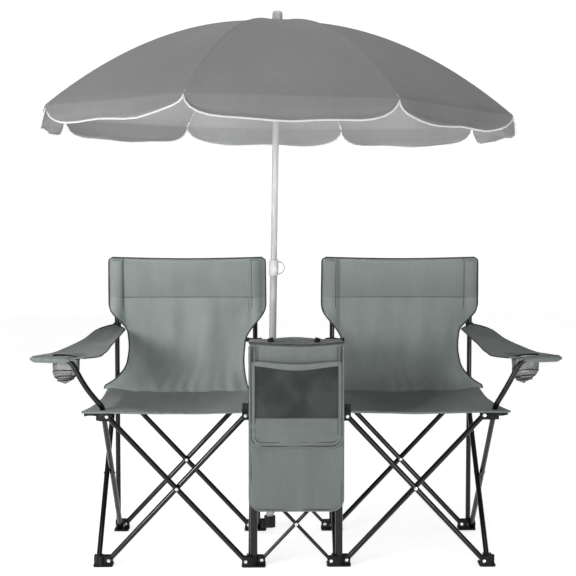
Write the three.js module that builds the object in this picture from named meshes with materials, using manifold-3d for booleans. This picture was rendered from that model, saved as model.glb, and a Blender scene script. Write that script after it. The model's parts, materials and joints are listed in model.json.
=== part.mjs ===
import * as THREE from 'three';
import { mergeVertices } from 'three/addons/utils/BufferGeometryUtils.js';
import Module from 'manifold-3d';

// A folding double camp chair: two scissor-framed seats, a cooler bag between them and an umbrella.
// Millimetres, +Z up, +Y to the back, the origin on the ground under the middle of the frame.

const wasm = await Module();
wasm.setup();

// Scissor frame
const baySpan = 381;
const centreSpan = 193;
const bayRise = 405;
const pivotOffset = 22;
const footPivotHeight = 16;
const tubeDiameter = 15;
const centreTubeDiameter = 10;
const tubeWall = 1;
const tubePastPivot = 5.5;
const laneClearance = 0.5;
const rivetRadius = 2.2;
const rivetHeadRadius = 5;
const centreRivetRadius = 1.5;
const centreRivetHeadRadius = 4;
const rivetHeadHeight = 1.5;
const rivetClearance = 0.25;
const fitGap = 0.35;
const overrun = 2;
const weldReach = 1e-4;

// Posts, feet and sliders
const backPostDiameter = 15;
const backPostTop = 826;
const frontPostDiameter = 21;
const frontPostTop = 598;
const postCapHeight = 5;
const footBase = 5;
const footHeight = 29;
const footFlare = 1.5;
const cheekThickness = 3;
const centreCheekThickness = 2.5;
const lugNose = 10;
const lugCornerRadius = 7;
const slotRoot = 12.2;
const bossWall = 2.2;
const sliderHalfHeight = 12;
const frontSliderHeight = 26;
const middleSliderHalfHeight = 14;

// Umbrella socket on the back foot
const socketX = -74;
const socketY = 170;
const socketRadius = 18;
const socketBottom = 16;
const socketTop = 50;
const socketFloor = 4;
const socketWebWidth = 15;
const socketWebBottom = 7;

// Arm tubes, given as the way out, forward and up from the outer hub's pivot
const armStraightPast = 22;
const armShoulderOut = 30;
const armShoulderForward = 48;
const armShoulderHeight = 90;
const armElbowOut = 56;
const armElbowForward = 56;
const armElbowHeight = 142;
const hemTubeOut = 84;
const hemTubeForward = 62;
const hemTubeHeight = 160;
const hemTubeLength = 90;
const hemTubeRise = 3;

// Seats: the distances are from the frame's middle
const seatThickness = 4;
const seatAboveHub = 1.6;
const seatFront = 237;
const seatBack = 172;
const seatTip = 590;
const seatHip = 566;
const seatInner = 134;
const seatSag = 30;
const seatFrontSag = 11;
const seatNotchDepth = 62;
const seatGap = 0.8;

// Backrests: widths are shares of the half width between the posts, listed by their share of the height
const backThickness = 4;
const backTop = 835;
const backBottomDepth = 166;
const backBow = 14;
const backUprightShare = 0.62;
const backOuterShares = [
  [0, 1.12], [0.075, 1.03], [0.14, 0.9], [0.267, 0.835], [0.43, 0.855], [0.524, 1], [0.6, 1.06], [1, 1.06],
];
const backInnerShares = [
  [0, 0.93], [0.075, 0.9], [0.14, 0.87], [0.267, 0.842], [0.43, 0.94], [0.524, 1.03], [0.6, 1.06], [1, 1.06],
];
const sleeveBottom = 679;
const sleeveHalfWidth = 21.5;
const sleeveHalfDepth = 11.5;
const sleeveGap = 0.7;
const sleeveMouth = 70;

// Armrests and cup holders: edges are shares of the way from the post to the front, and of the width there
const armrestThickness = 4;
const armrestFrontHeight = 583;
const armrestRearHeight = 622;
const armrestFront = 248;
const armrestRear = 203;
const armrestFrontReach = 184;
const armrestOuterShares = [[0, 0.96], [0.062, 0.79], [0.26, 0.655], [0.62, 0.41], [1, -0.02]];
const armrestInnerShares = [[0, 0.21], [0.06, 0.03], [0.18, -0.07], [0.4, -0.13], [0.7, -0.18], [1, -0.2]];
const armrestRiseShares = [[0, 0], [0.24, 0.05], [0.6, 0.45], [1, 1]];
const hemCloth = 2;
const hemGap = 0.6;
const hemPast = 6;
const cupRadius = 38.5;
const cupBaseRadius = 33;
const cupDepth = 74;
const cupWall = 1.6;
const cupOut = 85;
const cupFront = 186;
const loopRadius = 12.5;
const loopHeight = 15;

// Cooler bag: depths are the distance in front of the frame's middle
const bagHalfWidth = 96;
const bagPanelHalfWidth = 129;
const bagPanelFront = 239;
const bagBack = 10;
const bagWall = 4;
const bagTop = 606;
const bagBottom = 156;
const bagCorner = 33;
const bagStepHeight = 250;
const bagStepFront = 196;
const pocketTop = 567;
const pocketBottom = 338;
const pocketDepth = 9;
const pocketWall = 2;
const bagLoopHeight = 26;
const bagLoopWall = 3;
const lidThickness = 5;
const lidOverhang = 3;
const lidCorner = 9;

// Umbrella
const umbrellaLean = 0.9;
const lowerPoleDiameter = 22;
const upperPoleDiameter = 19;
const poleWall = 1;
const lowerPoleTop = 820;
const upperPoleBottom = 420;
const collarRadius = 14.5;
const collarBottom = 790;
const collarTop = 838;
const collarWireRadius = 1.6;
const collarWireReach = 24;
const collarWireHeight = 38;
const canopyRadius = 713;
const canopyRise = 286;
const canopyApex = 1562;
const poleTopDrop = 22;
const canopyTurn = -19.2;
const canopyThickness = 2;
const canopyHole = 12;
const valanceDepth = 66;
const valanceTip = 4;
const valanceCornerPower = 6;
const goreCount = 8;
const ribRadius = 2.2;
const ribShort = 6;
const crownRadius = 17;
const crownHeight = 24;
const crownNeckRadius = 9;
const crownNeckBevel = 4;
const finialRadius = 15.5;
const finialHeight = 31;
const finialRounding = 8;
const finialTopRadius = 9;
const runnerRadius = 16;
const runnerHeight = 34;
const runnerDrop = 190;
const stretcherRadius = 2;

// Facet counts, and the shares at which a sheet's columns and rows lie
const tubeSides = 8;
const poleSides = 12;
const rivetSides = 6;
const wireSides = 4;
const cupSides = 16;
const cornerSteps = 1;
const bagCornerSteps = 3;
const armRiseSteps = 6;
const armTurnSteps = 4;
const collarWireSteps = 6;
const seatColumnShares = [-1, 0, 0.14, 0.32, 0.5, 0.68, 0.86, 1, 2];
const seatRows = 6;
const backColumns = 6;
const backRowShares = [0, 0.075, 0.14, 0.267, 0.35, 0.43, 0.524, 0.6, 0.8, 1];
const armrestColumns = 3;
const armrestRowShares = [0, 0.06, 0.18, 0.25, 0.4, 0.6, 0.8, 1];
const easedShare = 0.5;
const domeRows = 6;
const stretcherRow = 3;
const goreShares = [-1, -0.85, -0.4, 0.4, 0.85];
const valanceShares = [1.6, 2];

// Places worked out from the sizes above
const innerX = centreSpan / 2 + pivotOffset;
const outerX = innerX + baySpan + 2 * pivotOffset;
const columnY = baySpan / 2 + pivotOffset;
const foldAngle = Math.atan2(bayRise, baySpan);
const hubPivotHeight = footPivotHeight + bayRise;
const seatEdgeHeight = hubPivotHeight + sliderHalfHeight + seatAboveHub + seatThickness;
const bayHalfLength = Math.hypot(baySpan, bayRise) / 2;
const centreHalfLength = (bayHalfLength * centreSpan) / baySpan;
const centreRise = (bayRise * centreSpan) / baySpan;
const middlePivotHeight = footPivotHeight + centreRise;
const mainLane = tubeDiameter / 2 + laneClearance;
const centreLane = centreTubeDiameter / 2 + laneClearance;
const chairMiddle = (innerX + outerX) / 2;
const postHalfSpan = (outerX - innerX) / 2;
const lugReach = pivotOffset + lugNose;
const upperPoleTop = canopyApex - poleTopDrop;
const runnerTop = canopyApex - runnerDrop;

// Finishes
const finishes = {
  steel: { color: 0x1c1d1e, roughness: 0.32, metalness: 0.6 },
  plastic: { color: 0x18191a, roughness: 0.55, metalness: 0 },
  cloth: { color: 0x76827c, roughness: 0.85, metalness: 0 },
  darkCloth: { color: 0x5c6763, roughness: 0.85, metalness: 0 },
  canopyCloth: { color: 0x8a8c8e, roughness: 0.8, metalness: 0 },
  whiteSteel: { color: 0xf0f0f0, roughness: 0.35, metalness: 0.1 },
  whitePlastic: { color: 0xf4f4f2, roughness: 0.5, metalness: 0 },
};

// The ways a lug can point, in quarter turns from +X
const toRight = 0;
const toBack = 1;
const toLeft = 2;
const toFront = 3;
const quarterTurn = 90;

const lerp = THREE.MathUtils.lerp;

// Solid helpers

function solidOf(geometry) {
  const bare = geometry.clone();
  for (const name of Object.keys(bare.attributes)) {
    if (name !== 'position') bare.deleteAttribute(name);
  }
  const merged = mergeVertices(bare, weldReach);
  const vertProperties = Float32Array.from(merged.attributes.position.array);
  const triVerts = Uint32Array.from(wholeTriangles(merged.index.array));
  return new wasm.Manifold(new wasm.Mesh({ numProp: 3, vertProperties, triVerts }));
}

// Leaves out the triangles that a pole of a turned shape shrinks to a line
function wholeTriangles(index) {
  const kept = [];
  for (let i = 0; i < index.length; i += 3) {
    const [a, b, c] = index.slice(i, i + 3);
    if (a !== b && b !== c && c !== a) kept.push(a, b, c);
  }
  return kept;
}

// Faces that lie flush are merged before the mesh is read back
function geometryOf(solid) {
  const mesh = solid.asOriginal().getMesh();
  const geometry = new THREE.BufferGeometry();
  geometry.setAttribute('position', new THREE.BufferAttribute(mesh.vertProperties, 3));
  geometry.setIndex(new THREE.BufferAttribute(mesh.triVerts, 1));
  return geometry;
}

function join(solids) {
  return solids.reduce((whole, solid) => whole.add(solid));
}

function cut(solid, tools) {
  return tools.reduce((left, tool) => left.subtract(tool), solid);
}

function box(low, high) {
  const size = high.map((value, i) => value - low[i]);
  const geometry = new THREE.BoxGeometry(...size);
  geometry.translate(...low.map((value, i) => value + size[i] / 2));
  return solidOf(geometry);
}

function disc(radius, sides) {
  return new THREE.Shape(
    Array.from({ length: sides }, (_, i) => {
      const angle = (2 * Math.PI * (i + 0.5)) / sides;
      return new THREE.Vector2(radius * Math.cos(angle), radius * Math.sin(angle));
    }),
  );
}

// A bar or, with a bore, a pipe along a path
function sweep(path, steps, radius, sides, boreRadius = 0) {
  const section = disc(radius, sides);
  if (boreRadius > 0) section.holes.push(disc(boreRadius, sides));
  const options = { steps, extrudePath: path, bevelEnabled: false };
  return solidOf(new THREE.ExtrudeGeometry(section, options));
}

function bar(start, end, radius, sides, boreRadius = 0) {
  const path = new THREE.LineCurve3(new THREE.Vector3(...start), new THREE.Vector3(...end));
  return sweep(path, 1, radius, sides, boreRadius);
}

// A flat outline in X and Y given a height from low to high
function plate(shape, low, high) {
  const options = { depth: high - low, bevelEnabled: false, curveSegments: cornerSteps };
  const geometry = new THREE.ExtrudeGeometry(shape, options);
  geometry.translate(0, 0, low);
  return solidOf(geometry);
}

function roundedRectangle(lowX, lowY, highX, highY, radius) {
  const shape = new THREE.Shape();
  shape.moveTo(lowX + radius, lowY);
  shape.lineTo(highX - radius, lowY);
  shape.absarc(highX - radius, lowY + radius, radius, -Math.PI / 2, 0);
  shape.lineTo(highX, highY - radius);
  shape.absarc(highX - radius, highY - radius, radius, 0, Math.PI / 2);
  shape.lineTo(lowX + radius, highY);
  shape.absarc(lowX + radius, highY - radius, radius, Math.PI / 2, Math.PI);
  shape.lineTo(lowX, lowY + radius);
  shape.absarc(lowX + radius, lowY + radius, radius, Math.PI, 1.5 * Math.PI);
  return shape;
}

// A closed solid of revolution about +Z from [radius, height] pairs, listed upwards
function turned(profile, sides) {
  const points = [...profile, profile[0]].map(([radius, height]) => new THREE.Vector2(radius, height));
  const geometry = new THREE.LatheGeometry(points, sides);
  geometry.rotateX(Math.PI / 2);
  return solidOf(geometry);
}

// A closed sheet between two surfaces, each a function of u and v from the lists of shares
function sheet(upper, lower, uShares, vShares, wrapped = false) {
  const uCount = uShares.length;
  const vCount = vShares.length;
  const positions = [];
  for (const surface of [upper, lower]) {
    for (const v of vShares) {
      for (const u of uShares) positions.push(...surface(u, v));
    }
  }
  const at = (layer, row, column) => (layer * vCount + row) * uCount + (column % uCount);
  const triangles = [];
  const quad = (a, b, c, d) => triangles.push(a, b, c, a, c, d);
  const columns = wrapped ? uCount : uCount - 1;
  for (let row = 0; row < vCount - 1; row += 1) {
    for (let column = 0; column < columns; column += 1) {
      quad(at(0, row, column), at(0, row, column + 1), at(0, row + 1, column + 1), at(0, row + 1, column));
      quad(at(1, row, column), at(1, row + 1, column), at(1, row + 1, column + 1), at(1, row, column + 1));
    }
  }
  for (let column = 0; column < columns; column += 1) {
    quad(at(1, 0, column), at(1, 0, column + 1), at(0, 0, column + 1), at(0, 0, column));
    const last = vCount - 1;
    quad(at(0, last, column), at(0, last, column + 1), at(1, last, column + 1), at(1, last, column));
  }
  if (!wrapped) {
    for (let row = 0; row < vCount - 1; row += 1) {
      const last = uCount - 1;
      quad(at(0, row, 0), at(0, row + 1, 0), at(1, row + 1, 0), at(1, row, 0));
      quad(at(0, row + 1, last), at(0, row, last), at(1, row, last), at(1, row + 1, last));
    }
  }
  const geometry = new THREE.BufferGeometry();
  geometry.setAttribute('position', new THREE.Float32BufferAttribute(positions, 3));
  geometry.setIndex(triangles);
  return solidOf(geometry);
}

function evenShares(count) {
  return Array.from({ length: count + 1 }, (_, i) => i / count);
}

function mirrored(solid) {
  return solid.scale([-1, 1, 1]);
}

// A smooth value through [share, value] pairs
function along(pairs, share) {
  const next = Math.max(1, pairs.findIndex(([at]) => at >= share));
  const [startAt, start] = pairs[next - 1];
  const [endAt, end] = pairs[next];
  const step = THREE.MathUtils.clamp((share - startAt) / (endAt - startAt), 0, 1);
  const eased = step * step * (3 - 2 * step);
  return lerp(start, end, lerp(step, eased, easedShare));
}

const loveseat = new THREE.Group();

function addNode(name, solid, finish, parent = loveseat) {
  const mesh = new THREE.Mesh(geometryOf(solid), new THREE.MeshStandardMaterial(finishes[finish]));
  mesh.name = name;
  parent.add(mesh);
  return mesh;
}

// Lugs: forks that hold a tube end between two cheeks on a rivet.
// Each has the way it points, its heading, and the side of the column that its tube runs on, its lane.

function lugSizes(thin) {
  return thin
    ? { lane: centreLane, cheek: centreCheekThickness, pin: centreRivetRadius }
    : { lane: mainLane, cheek: cheekThickness, pin: rivetRadius };
}

function turnedTo(solid, heading) {
  return solid.rotate([0, 0, quarterTurn * heading]);
}

function lugBlock(lug, low, high) {
  const { lane, cheek } = lugSizes(lug.thin);
  const profile = new THREE.Shape();
  profile.moveTo(0, low);
  if (lug.flatBase) {
    profile.lineTo(lugReach, low);
  } else {
    profile.lineTo(lugReach - lugCornerRadius, low);
    profile.absarc(lugReach - lugCornerRadius, low + lugCornerRadius, lugCornerRadius, -Math.PI / 2, 0);
  }
  profile.lineTo(lugReach, high - lugCornerRadius);
  profile.absarc(lugReach - lugCornerRadius, high - lugCornerRadius, lugCornerRadius, 0, Math.PI / 2);
  profile.lineTo(0, high);
  const width = 2 * (lane + cheek);
  const options = { depth: width, bevelEnabled: false, curveSegments: cornerSteps };
  const geometry = new THREE.ExtrudeGeometry(profile, options);
  geometry.rotateX(Math.PI / 2);
  geometry.translate(0, lug.lane * lane + width / 2, 0);
  return turnedTo(solidOf(geometry), lug.heading);
}

function lugSlot(lug, low, high) {
  const { lane } = lugSizes(lug.thin);
  const nearSide = Math.min(0, 2 * lug.lane * lane);
  const end = lugReach + overrun;
  return turnedTo(box([slotRoot, nearSide, low], [end, nearSide + 2 * lane, high]), lug.heading);
}

// The pin of a lug's rivet, flush with its cheeks
function lugPin(lug, pivotHeight) {
  const { lane, cheek, pin } = lugSizes(lug.thin);
  const middle = lug.lane * lane;
  const side = lane + cheek / 2;
  const start = [pivotOffset, middle - side, pivotHeight];
  return turnedTo(bar(start, [pivotOffset, middle + side, pivotHeight], pin, rivetSides), lug.heading);
}

// Columns of the frame, where a foot, a post and its sliders stand over each other

const columns = [];
for (const side of ['left', 'right']) {
  for (const row of ['front', 'back']) {
    for (const place of ['outer', 'inner']) {
      const sign = side === 'left' ? -1 : 1;
      const x = sign * (place === 'outer' ? outerX : innerX);
      const y = row === 'front' ? -columnY : columnY;
      const bay = place === 'outer' ? -sign : sign;
      columns.push({ name: `${row}_${place}_${side}`, side, row, place, x, y, bay });
    }
  }
}

const headingOfX = (direction) => (direction > 0 ? toRight : toLeft);

// On a lug that points to the left the local lane is on the other side of the column
const laneAt = (heading, worldLane) => (heading === toLeft ? -worldLane : worldLane);

function bayLug(direction, worldLane, thin = false) {
  const heading = headingOfX(direction);
  return { heading, lane: laneAt(heading, worldLane), thin };
}

// Side tubes run beside the posts: the one rising to the front is on the +X side of them
function sideLug(column, raised) {
  const heading = column.row === 'front' ? toBack : toFront;
  const onPlusX = (column.row === 'front') === raised;
  return { heading, lane: (heading === toBack) === onPlusX ? -1 : 1, thin: false };
}

function postOf(column) {
  if (column.row === 'back') return { radius: backPostDiameter / 2, top: backPostTop };
  return column.place === 'inner' ? { radius: frontPostDiameter / 2, top: frontPostTop } : null;
}

function bossRadius(post) {
  return (post ? post.radius : backPostDiameter / 2) + bossWall;
}

function footSolid(column) {
  const post = postOf(column);
  const lugs = [bayLug(column.bay, column.bay), sideLug(column, false)];
  if (column.place === 'inner') lugs.push(bayLug(-column.bay, -column.bay, true));
  for (const lug of lugs) lug.flatBase = true;
  const blocks = lugs.map((lug) => lugBlock(lug, 0, footHeight));
  const boss = bar([0, 0, 0], [0, 0, footHeight], bossRadius(post), poleSides);
  const reach = join([...blocks, boss]).boundingBox();
  const base = roundedRectangle(
    reach.min[0] - footFlare,
    reach.min[1] - footFlare,
    reach.max[0] + footFlare,
    reach.max[1] + footFlare,
    lugCornerRadius,
  );
  const tools = lugs.map((lug) => lugSlot(lug, footBase, footHeight + overrun));
  if (post) {
    const top = [0, 0, footHeight + overrun];
    tools.push(bar([0, 0, footBase], top, post.radius + fitGap, poleSides));
  }
  const body = cut(join([plate(base, 0, footBase), ...blocks, boss]), tools);
  return join([body, ...lugs.map((lug) => lugPin(lug, footPivotHeight))]);
}

// A slider or hub, in a frame whose zero height is its pivots' height
function sliderSolid(post, lugs, below, above) {
  const blocks = lugs.map((lug) => lugBlock(lug, -below, above));
  const boss = bar([0, 0, -below], [0, 0, above], bossRadius(post) + fitGap, poleSides);
  const tools = lugs.map((lug) => lugSlot(lug, -below - overrun, above + overrun));
  if (post) {
    const start = [0, 0, -below - overrun];
    tools.push(bar(start, [0, 0, above + overrun], post.radius + fitGap, poleSides));
  }
  return join([cut(join([...blocks, boss]), tools), ...lugs.map((lug) => lugPin(lug, 0))]);
}

// The room the arm tube needs as it leaves its hub and swings up with the fold
function armRoom() {
  const width = 2 * mainLane;
  const past = lugReach + 2 * mainLane;
  const high = 2 * past;
  const room = box([-past, -width, -mainLane - fitGap], [past, 0, high]);
  const keep = box([0, -width - overrun, -high], [past + overrun, overrun, 2 * high]);
  const tilted = room.subtract(keep).rotate([0, THREE.MathUtils.radToDeg(foldAngle), 0]);
  return turnedTo(tilted.translate([pivotOffset - columnY, 0, 0]), toBack).translate([0, columnY, 0]);
}

for (const column of columns) {
  const post = postOf(column);
  let foot = footSolid(column);
  if (column.name === 'back_inner_left') foot = withUmbrellaSocket(foot, column);
  addNode(`foot_${column.name}`, foot, 'plastic').position.set(column.x, column.y, 0);

  if (post) {
    const bottom = footBase + fitGap;
    let tube = bar([0, 0, bottom], [0, 0, post.top], post.radius, poleSides, post.radius - tubeWall);
    const capTop = post.top + postCapHeight;
    if (column.row === 'front') {
      const cap = bar([0, 0, post.top - overrun], [0, 0, capTop], post.radius, poleSides);
      tube = join([tube, cap]);
    }
    addNode(`post_${column.name}`, tube, 'steel').position.set(column.x, column.y, 0);
  }

  const topLugs = [bayLug(column.bay, -column.bay), sideLug(column, true)];
  const fixedHub = column.row === 'front' && column.place === 'outer';
  const above = column.row === 'front' && column.place === 'inner' ? frontSliderHeight : sliderHalfHeight;
  let slider = sliderSolid(post, topLugs, sliderHalfHeight, above);
  if (fixedHub) slider = slider.subtract(armRoom()).add(lugPin(topLugs[1], 0));
  const kind = fixedHub ? 'hub' : 'slider';
  const sliderMesh = addNode(`${kind}_${column.name}`, slider, 'plastic');
  sliderMesh.position.set(column.x, column.y, hubPivotHeight);

  if (column.place === 'inner') {
    const half = middleSliderHalfHeight;
    const middle = sliderSolid(post, [bayLug(-column.bay, column.bay, true)], half, half);
    const middleMesh = addNode(`middle_slider_${column.row}_${column.side}`, middle, 'plastic');
    middleMesh.position.set(column.x, column.y, middlePivotHeight);
  }
}

// The umbrella's socket: a cup on a short web from the back inner left foot
function withUmbrellaSocket(foot, column) {
  const place = [socketX - column.x, socketY - column.y, 0];
  const cup = bar([0, 0, socketBottom], [0, 0, socketTop], socketRadius, poleSides).translate(place);
  const webStart = 2 * mainLane;
  const webY = socketY - column.y;
  const web = box(
    [webStart, webY + socketRadius / 2, socketWebBottom],
    [place[0] - socketRadius / 2, webY + socketRadius / 2 + socketWebWidth, footHeight],
  );
  const boreRadius = lowerPoleDiameter / 2 + fitGap;
  const bore = leaned(bar([0, 0, 0], [0, 0, socketTop + overrun], boreRadius, poleSides));
  const drilled = bore.translate([0, 0, socketBottom + socketFloor]).translate(place);
  return join([foot, web, cup]).subtract(drilled);
}

// Turns a solid from upright to the umbrella's lean about its foot
function leaned(solid) {
  return solid.rotate([0, umbrellaLean, 0]);
}

// Scissor tubes. In a pair's own frame, tube a falls towards +X on the near lane and carries the crossing's
// rivet, and tube b rises on the far lane.

const mainTube = {
  radius: tubeDiameter / 2,
  lane: mainLane,
  pin: rivetRadius,
  head: rivetHeadRadius,
};
const centreTube = {
  radius: centreTubeDiameter / 2,
  lane: centreLane,
  pin: centreRivetRadius,
  head: centreRivetHeadRadius,
};

// A hole that a turning pin clears, flats and all
function crossHole(x, tube) {
  const radius = (tube.pin + rivetClearance) / Math.cos(Math.PI / rivetSides);
  return bar([x, -tube.radius - overrun, 0], [x, tube.radius + overrun, 0], radius, rivetSides);
}

function crossingRivet(tube) {
  const farSide = 2 * tube.lane + tube.radius + fitGap;
  const sunk = tube.radius - tubeWall / 2;
  return join([
    bar([0, -sunk, 0], [0, farSide + rivetHeadHeight / 2, 0], tube.pin, rivetSides),
    bar([0, -tube.radius - rivetHeadHeight, 0], [0, -sunk, 0], tube.head, rivetSides),
    bar([0, farSide, 0], [0, farSide + rivetHeadHeight, 0], tube.head, rivetSides),
  ]);
}

function scissorTube(half, tube, carriesRivet) {
  const end = half + tubePastPivot;
  const pipe = bar([-end, 0, 0], [end, 0, 0], tube.radius, tubeSides, tube.radius - tubeWall);
  const drilled = cut(pipe, [crossHole(-half, tube), crossHole(half, tube)]);
  return carriesRivet ? drilled.add(crossingRivet(tube)) : drilled.subtract(crossHole(0, tube));
}

function addPair(names, centre, quarterTurns, half, tube) {
  const pair = new THREE.Group();
  pair.position.set(...centre);
  pair.rotation.z = THREE.MathUtils.degToRad(quarterTurn * quarterTurns);
  loveseat.add(pair);
  const [nearName, farName] = names;
  if (nearName) {
    const near = addNode(nearName, scissorTube(half, tube, true), 'steel', pair);
    near.position.y = -tube.lane;
    near.rotation.y = foldAngle;
  }
  const far = addNode(farName, scissorTube(half, tube, false), 'steel', pair);
  far.position.y = tube.lane;
  far.rotation.y = -foldAngle;
}

const bayCentreZ = footPivotHeight + bayRise / 2;
const centreCentreZ = footPivotHeight + centreRise / 2;

for (const [row, y] of [['front', -columnY], ['back', columnY]]) {
  for (const [side, sign] of [['left', -1], ['right', 1]]) {
    const names = [`${row}_${side}_tube_a`, `${row}_${side}_tube_b`];
    addPair(names, [sign * chairMiddle, y, bayCentreZ], 0, bayHalfLength, mainTube);
  }
  const names = [`${row}_centre_tube_a`, `${row}_centre_tube_b`];
  addPair(names, [0, y, centreCentreZ], 0, centreHalfLength, centreTube);
}

for (const [side, sign] of [['left', -1], ['right', 1]]) {
  const inner = [`inner_${side}_tube_a`, `inner_${side}_tube_b`];
  addPair(inner, [sign * innerX, 0, bayCentreZ], 1, bayHalfLength, mainTube);
  const outer = [null, `outer_${side}_tube`];
  addPair(outer, [sign * outerX, 0, bayCentreZ], 1, bayHalfLength, mainTube);
}

// A path made of stretches that each take a set number of steps, so straight stretches take one
class SteppedPath extends THREE.Curve {
  constructor(stretches) {
    super();
    this.stretches = stretches;
    this.steps = stretches.reduce((sum, stretch) => sum + stretch.steps, 0);
  }

  getPoint(share) {
    let left = share * this.steps;
    for (const { curve, steps } of this.stretches.slice(0, -1)) {
      if (left < steps) return curve.getPoint(left / steps);
      left -= steps;
    }
    const last = this.stretches.at(-1);
    return last.curve.getPoint(left / last.steps);
  }

  getUtoTmapping(share) {
    return share;
  }
}

// The outer tube that falls to the back foot and bends out over its hub to carry the armrest's front hem
function armPath(sign, hemLength) {
  const x = sign * outerX + mainLane;
  const heading = new THREE.Vector3(0, -Math.cos(foldAngle), Math.sin(foldAngle));
  const foot = new THREE.Vector3(x, columnY - pivotOffset, footPivotHeight);
  const hub = new THREE.Vector3(x, pivotOffset - columnY, hubPivotHeight);
  const start = foot.clone().addScaledVector(heading, -tubePastPivot);
  const bend = hub.clone().addScaledVector(heading, armStraightPast);
  const leaving = bend.clone().addScaledVector(heading, armStraightPast);
  const shoulder = fromHub(sign, armShoulderOut, armShoulderForward, armShoulderHeight);
  const elbow = fromHub(sign, armElbowOut, armElbowForward, armElbowHeight);
  const cornerShare = (hemTubeHeight - armShoulderHeight) / (armElbowHeight - armShoulderHeight);
  const corner = shoulder.clone().lerp(elbow, cornerShare);
  const rise = new THREE.CubicBezierCurve3(bend, leaving, shoulder, elbow);
  const turn = new THREE.QuadraticBezierCurve3(elbow, corner, hemEnd(sign, 0));
  const hem = new THREE.LineCurve3(hemEnd(sign, 0), hemEnd(sign, hemLength));
  return new SteppedPath([
    { curve: new THREE.LineCurve3(start, bend), steps: 1 },
    { curve: rise, steps: armRiseSteps },
    { curve: turn, steps: armTurnSteps },
    { curve: hem, steps: 1 },
  ]);
}

function fromHub(sign, out, forward, height) {
  return new THREE.Vector3(sign * (outerX + out), pivotOffset - columnY - forward, hubPivotHeight + height);
}

// A point on the hem tube, a given way out from its inner end
function hemEnd(sign, out) {
  const rise = hemTubeRise * (out / hemTubeLength);
  return fromHub(sign, hemTubeOut + out, hemTubeForward, hemTubeHeight + rise);
}

for (const [side, sign] of [['left', -1], ['right', 1]]) {
  const path = armPath(sign, hemTubeLength);
  const { radius } = mainTube;
  const pipe = sweep(path, path.steps, radius, tubeSides, radius - tubeWall);
  const x = sign * outerX + mainLane;
  const toPair = (solid, y, z) => turnedTo(solid, toBack).translate([x, y, z]);
  const footHole = toPair(crossHole(0, mainTube), columnY - pivotOffset, footPivotHeight);
  const hubHole = toPair(crossHole(0, mainTube), pivotOffset - columnY, hubPivotHeight);
  const rivet = toPair(crossingRivet(mainTube), 0, bayCentreZ);
  addNode(`arm_tube_${side}`, cut(pipe, [footHole, hubHole]).add(rivet), 'steel');
}

// Soft goods. Each is made for the left chair, or mirrored from it, and then cut to clear the frame.

function armClearance(sign, gap) {
  const path = armPath(sign, hemTubeLength + gap);
  return sweep(path, path.steps, tubeDiameter / 2 + gap, tubeSides);
}

// u runs from -1 at the outer edge over 0 and 1 beside the hubs to 2 at the inner edge, v from front to back
function seatSolid(sign) {
  const outerHub = outerX - lugReach - fitGap;
  const innerHub = innerX + lugReach + fitGap;
  const surface = (drop) => (u, v) => {
    const y = lerp(-seatFront, seatBack, v);
    const edge = u < 0 ? lerp(outerHub, lerp(seatTip, seatHip, v), -u) : null;
    const inner = u > 1 ? lerp(innerHub, seatInner, u - 1) : lerp(outerHub, innerHub, Math.max(u, 0));
    const across = Math.sin(Math.PI * THREE.MathUtils.clamp(u, 0, 1));
    const sag = across * (seatSag * Math.sin(Math.PI * v) + seatFrontSag * (1 - v));
    return [-(edge ?? inner), y, seatEdgeHeight - sag - drop];
  };
  const cloth = sheet(surface(0), surface(seatThickness), seatColumnShares, evenShares(seatRows));
  const notch = box(
    [-innerHub, -seatFront - overrun, seatEdgeHeight - 2 * seatThickness],
    [-seatInner + overrun, seatNotchDepth - seatFront, seatEdgeHeight + seatThickness],
  );
  const whole = cloth.subtract(notch);
  return (sign < 0 ? whole : mirrored(whole)).subtract(armClearance(sign, seatGap));
}

// u runs from the outer side to the inner one, v from the seat to the top
function backSolid() {
  const bottom = seatEdgeHeight + fitGap;
  const surface = (offset) => (u, v) => {
    const outer = chairMiddle + postHalfSpan * along(backOuterShares, v);
    const inner = chairMiddle - postHalfSpan * along(backInnerShares, v);
    const lean = Math.sin((Math.PI / 2) * Math.min(1, v / backUprightShare));
    const bow = backBow * Math.sin(Math.PI * u) * Math.sin(Math.PI * v);
    const depth = lerp(backBottomDepth, columnY, lean) + bow + offset;
    return [-lerp(outer, inner, u), depth, lerp(bottom, backTop, v)];
  };
  const half = backThickness / 2;
  const cloth = sheet(surface(-half), surface(half), evenShares(backColumns), backRowShares);
  const sleeves = [outerX, innerX].map((x) => sleeve().translate([-x, columnY, 0]));
  const bores = [outerX, innerX].map((x) => {
    const radius = backPostDiameter / 2 + sleeveGap;
    const start = [-x, columnY, sleeveBottom - sleeveMouth];
    return bar(start, [-x, columnY, backPostTop + sleeveGap], radius, poleSides);
  });
  return cut(join([cloth, ...sleeves]), bores);
}

function sleeve() {
  const outline = new THREE.Shape();
  outline.absellipse(0, 0, sleeveHalfWidth, sleeveHalfDepth, 0, 2 * Math.PI);
  const options = { depth: backTop - sleeveBottom, bevelEnabled: false, curveSegments: tubeSides };
  const geometry = new THREE.ExtrudeGeometry(outline, options);
  geometry.translate(0, 0, sleeveBottom);
  return solidOf(geometry);
}

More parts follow.
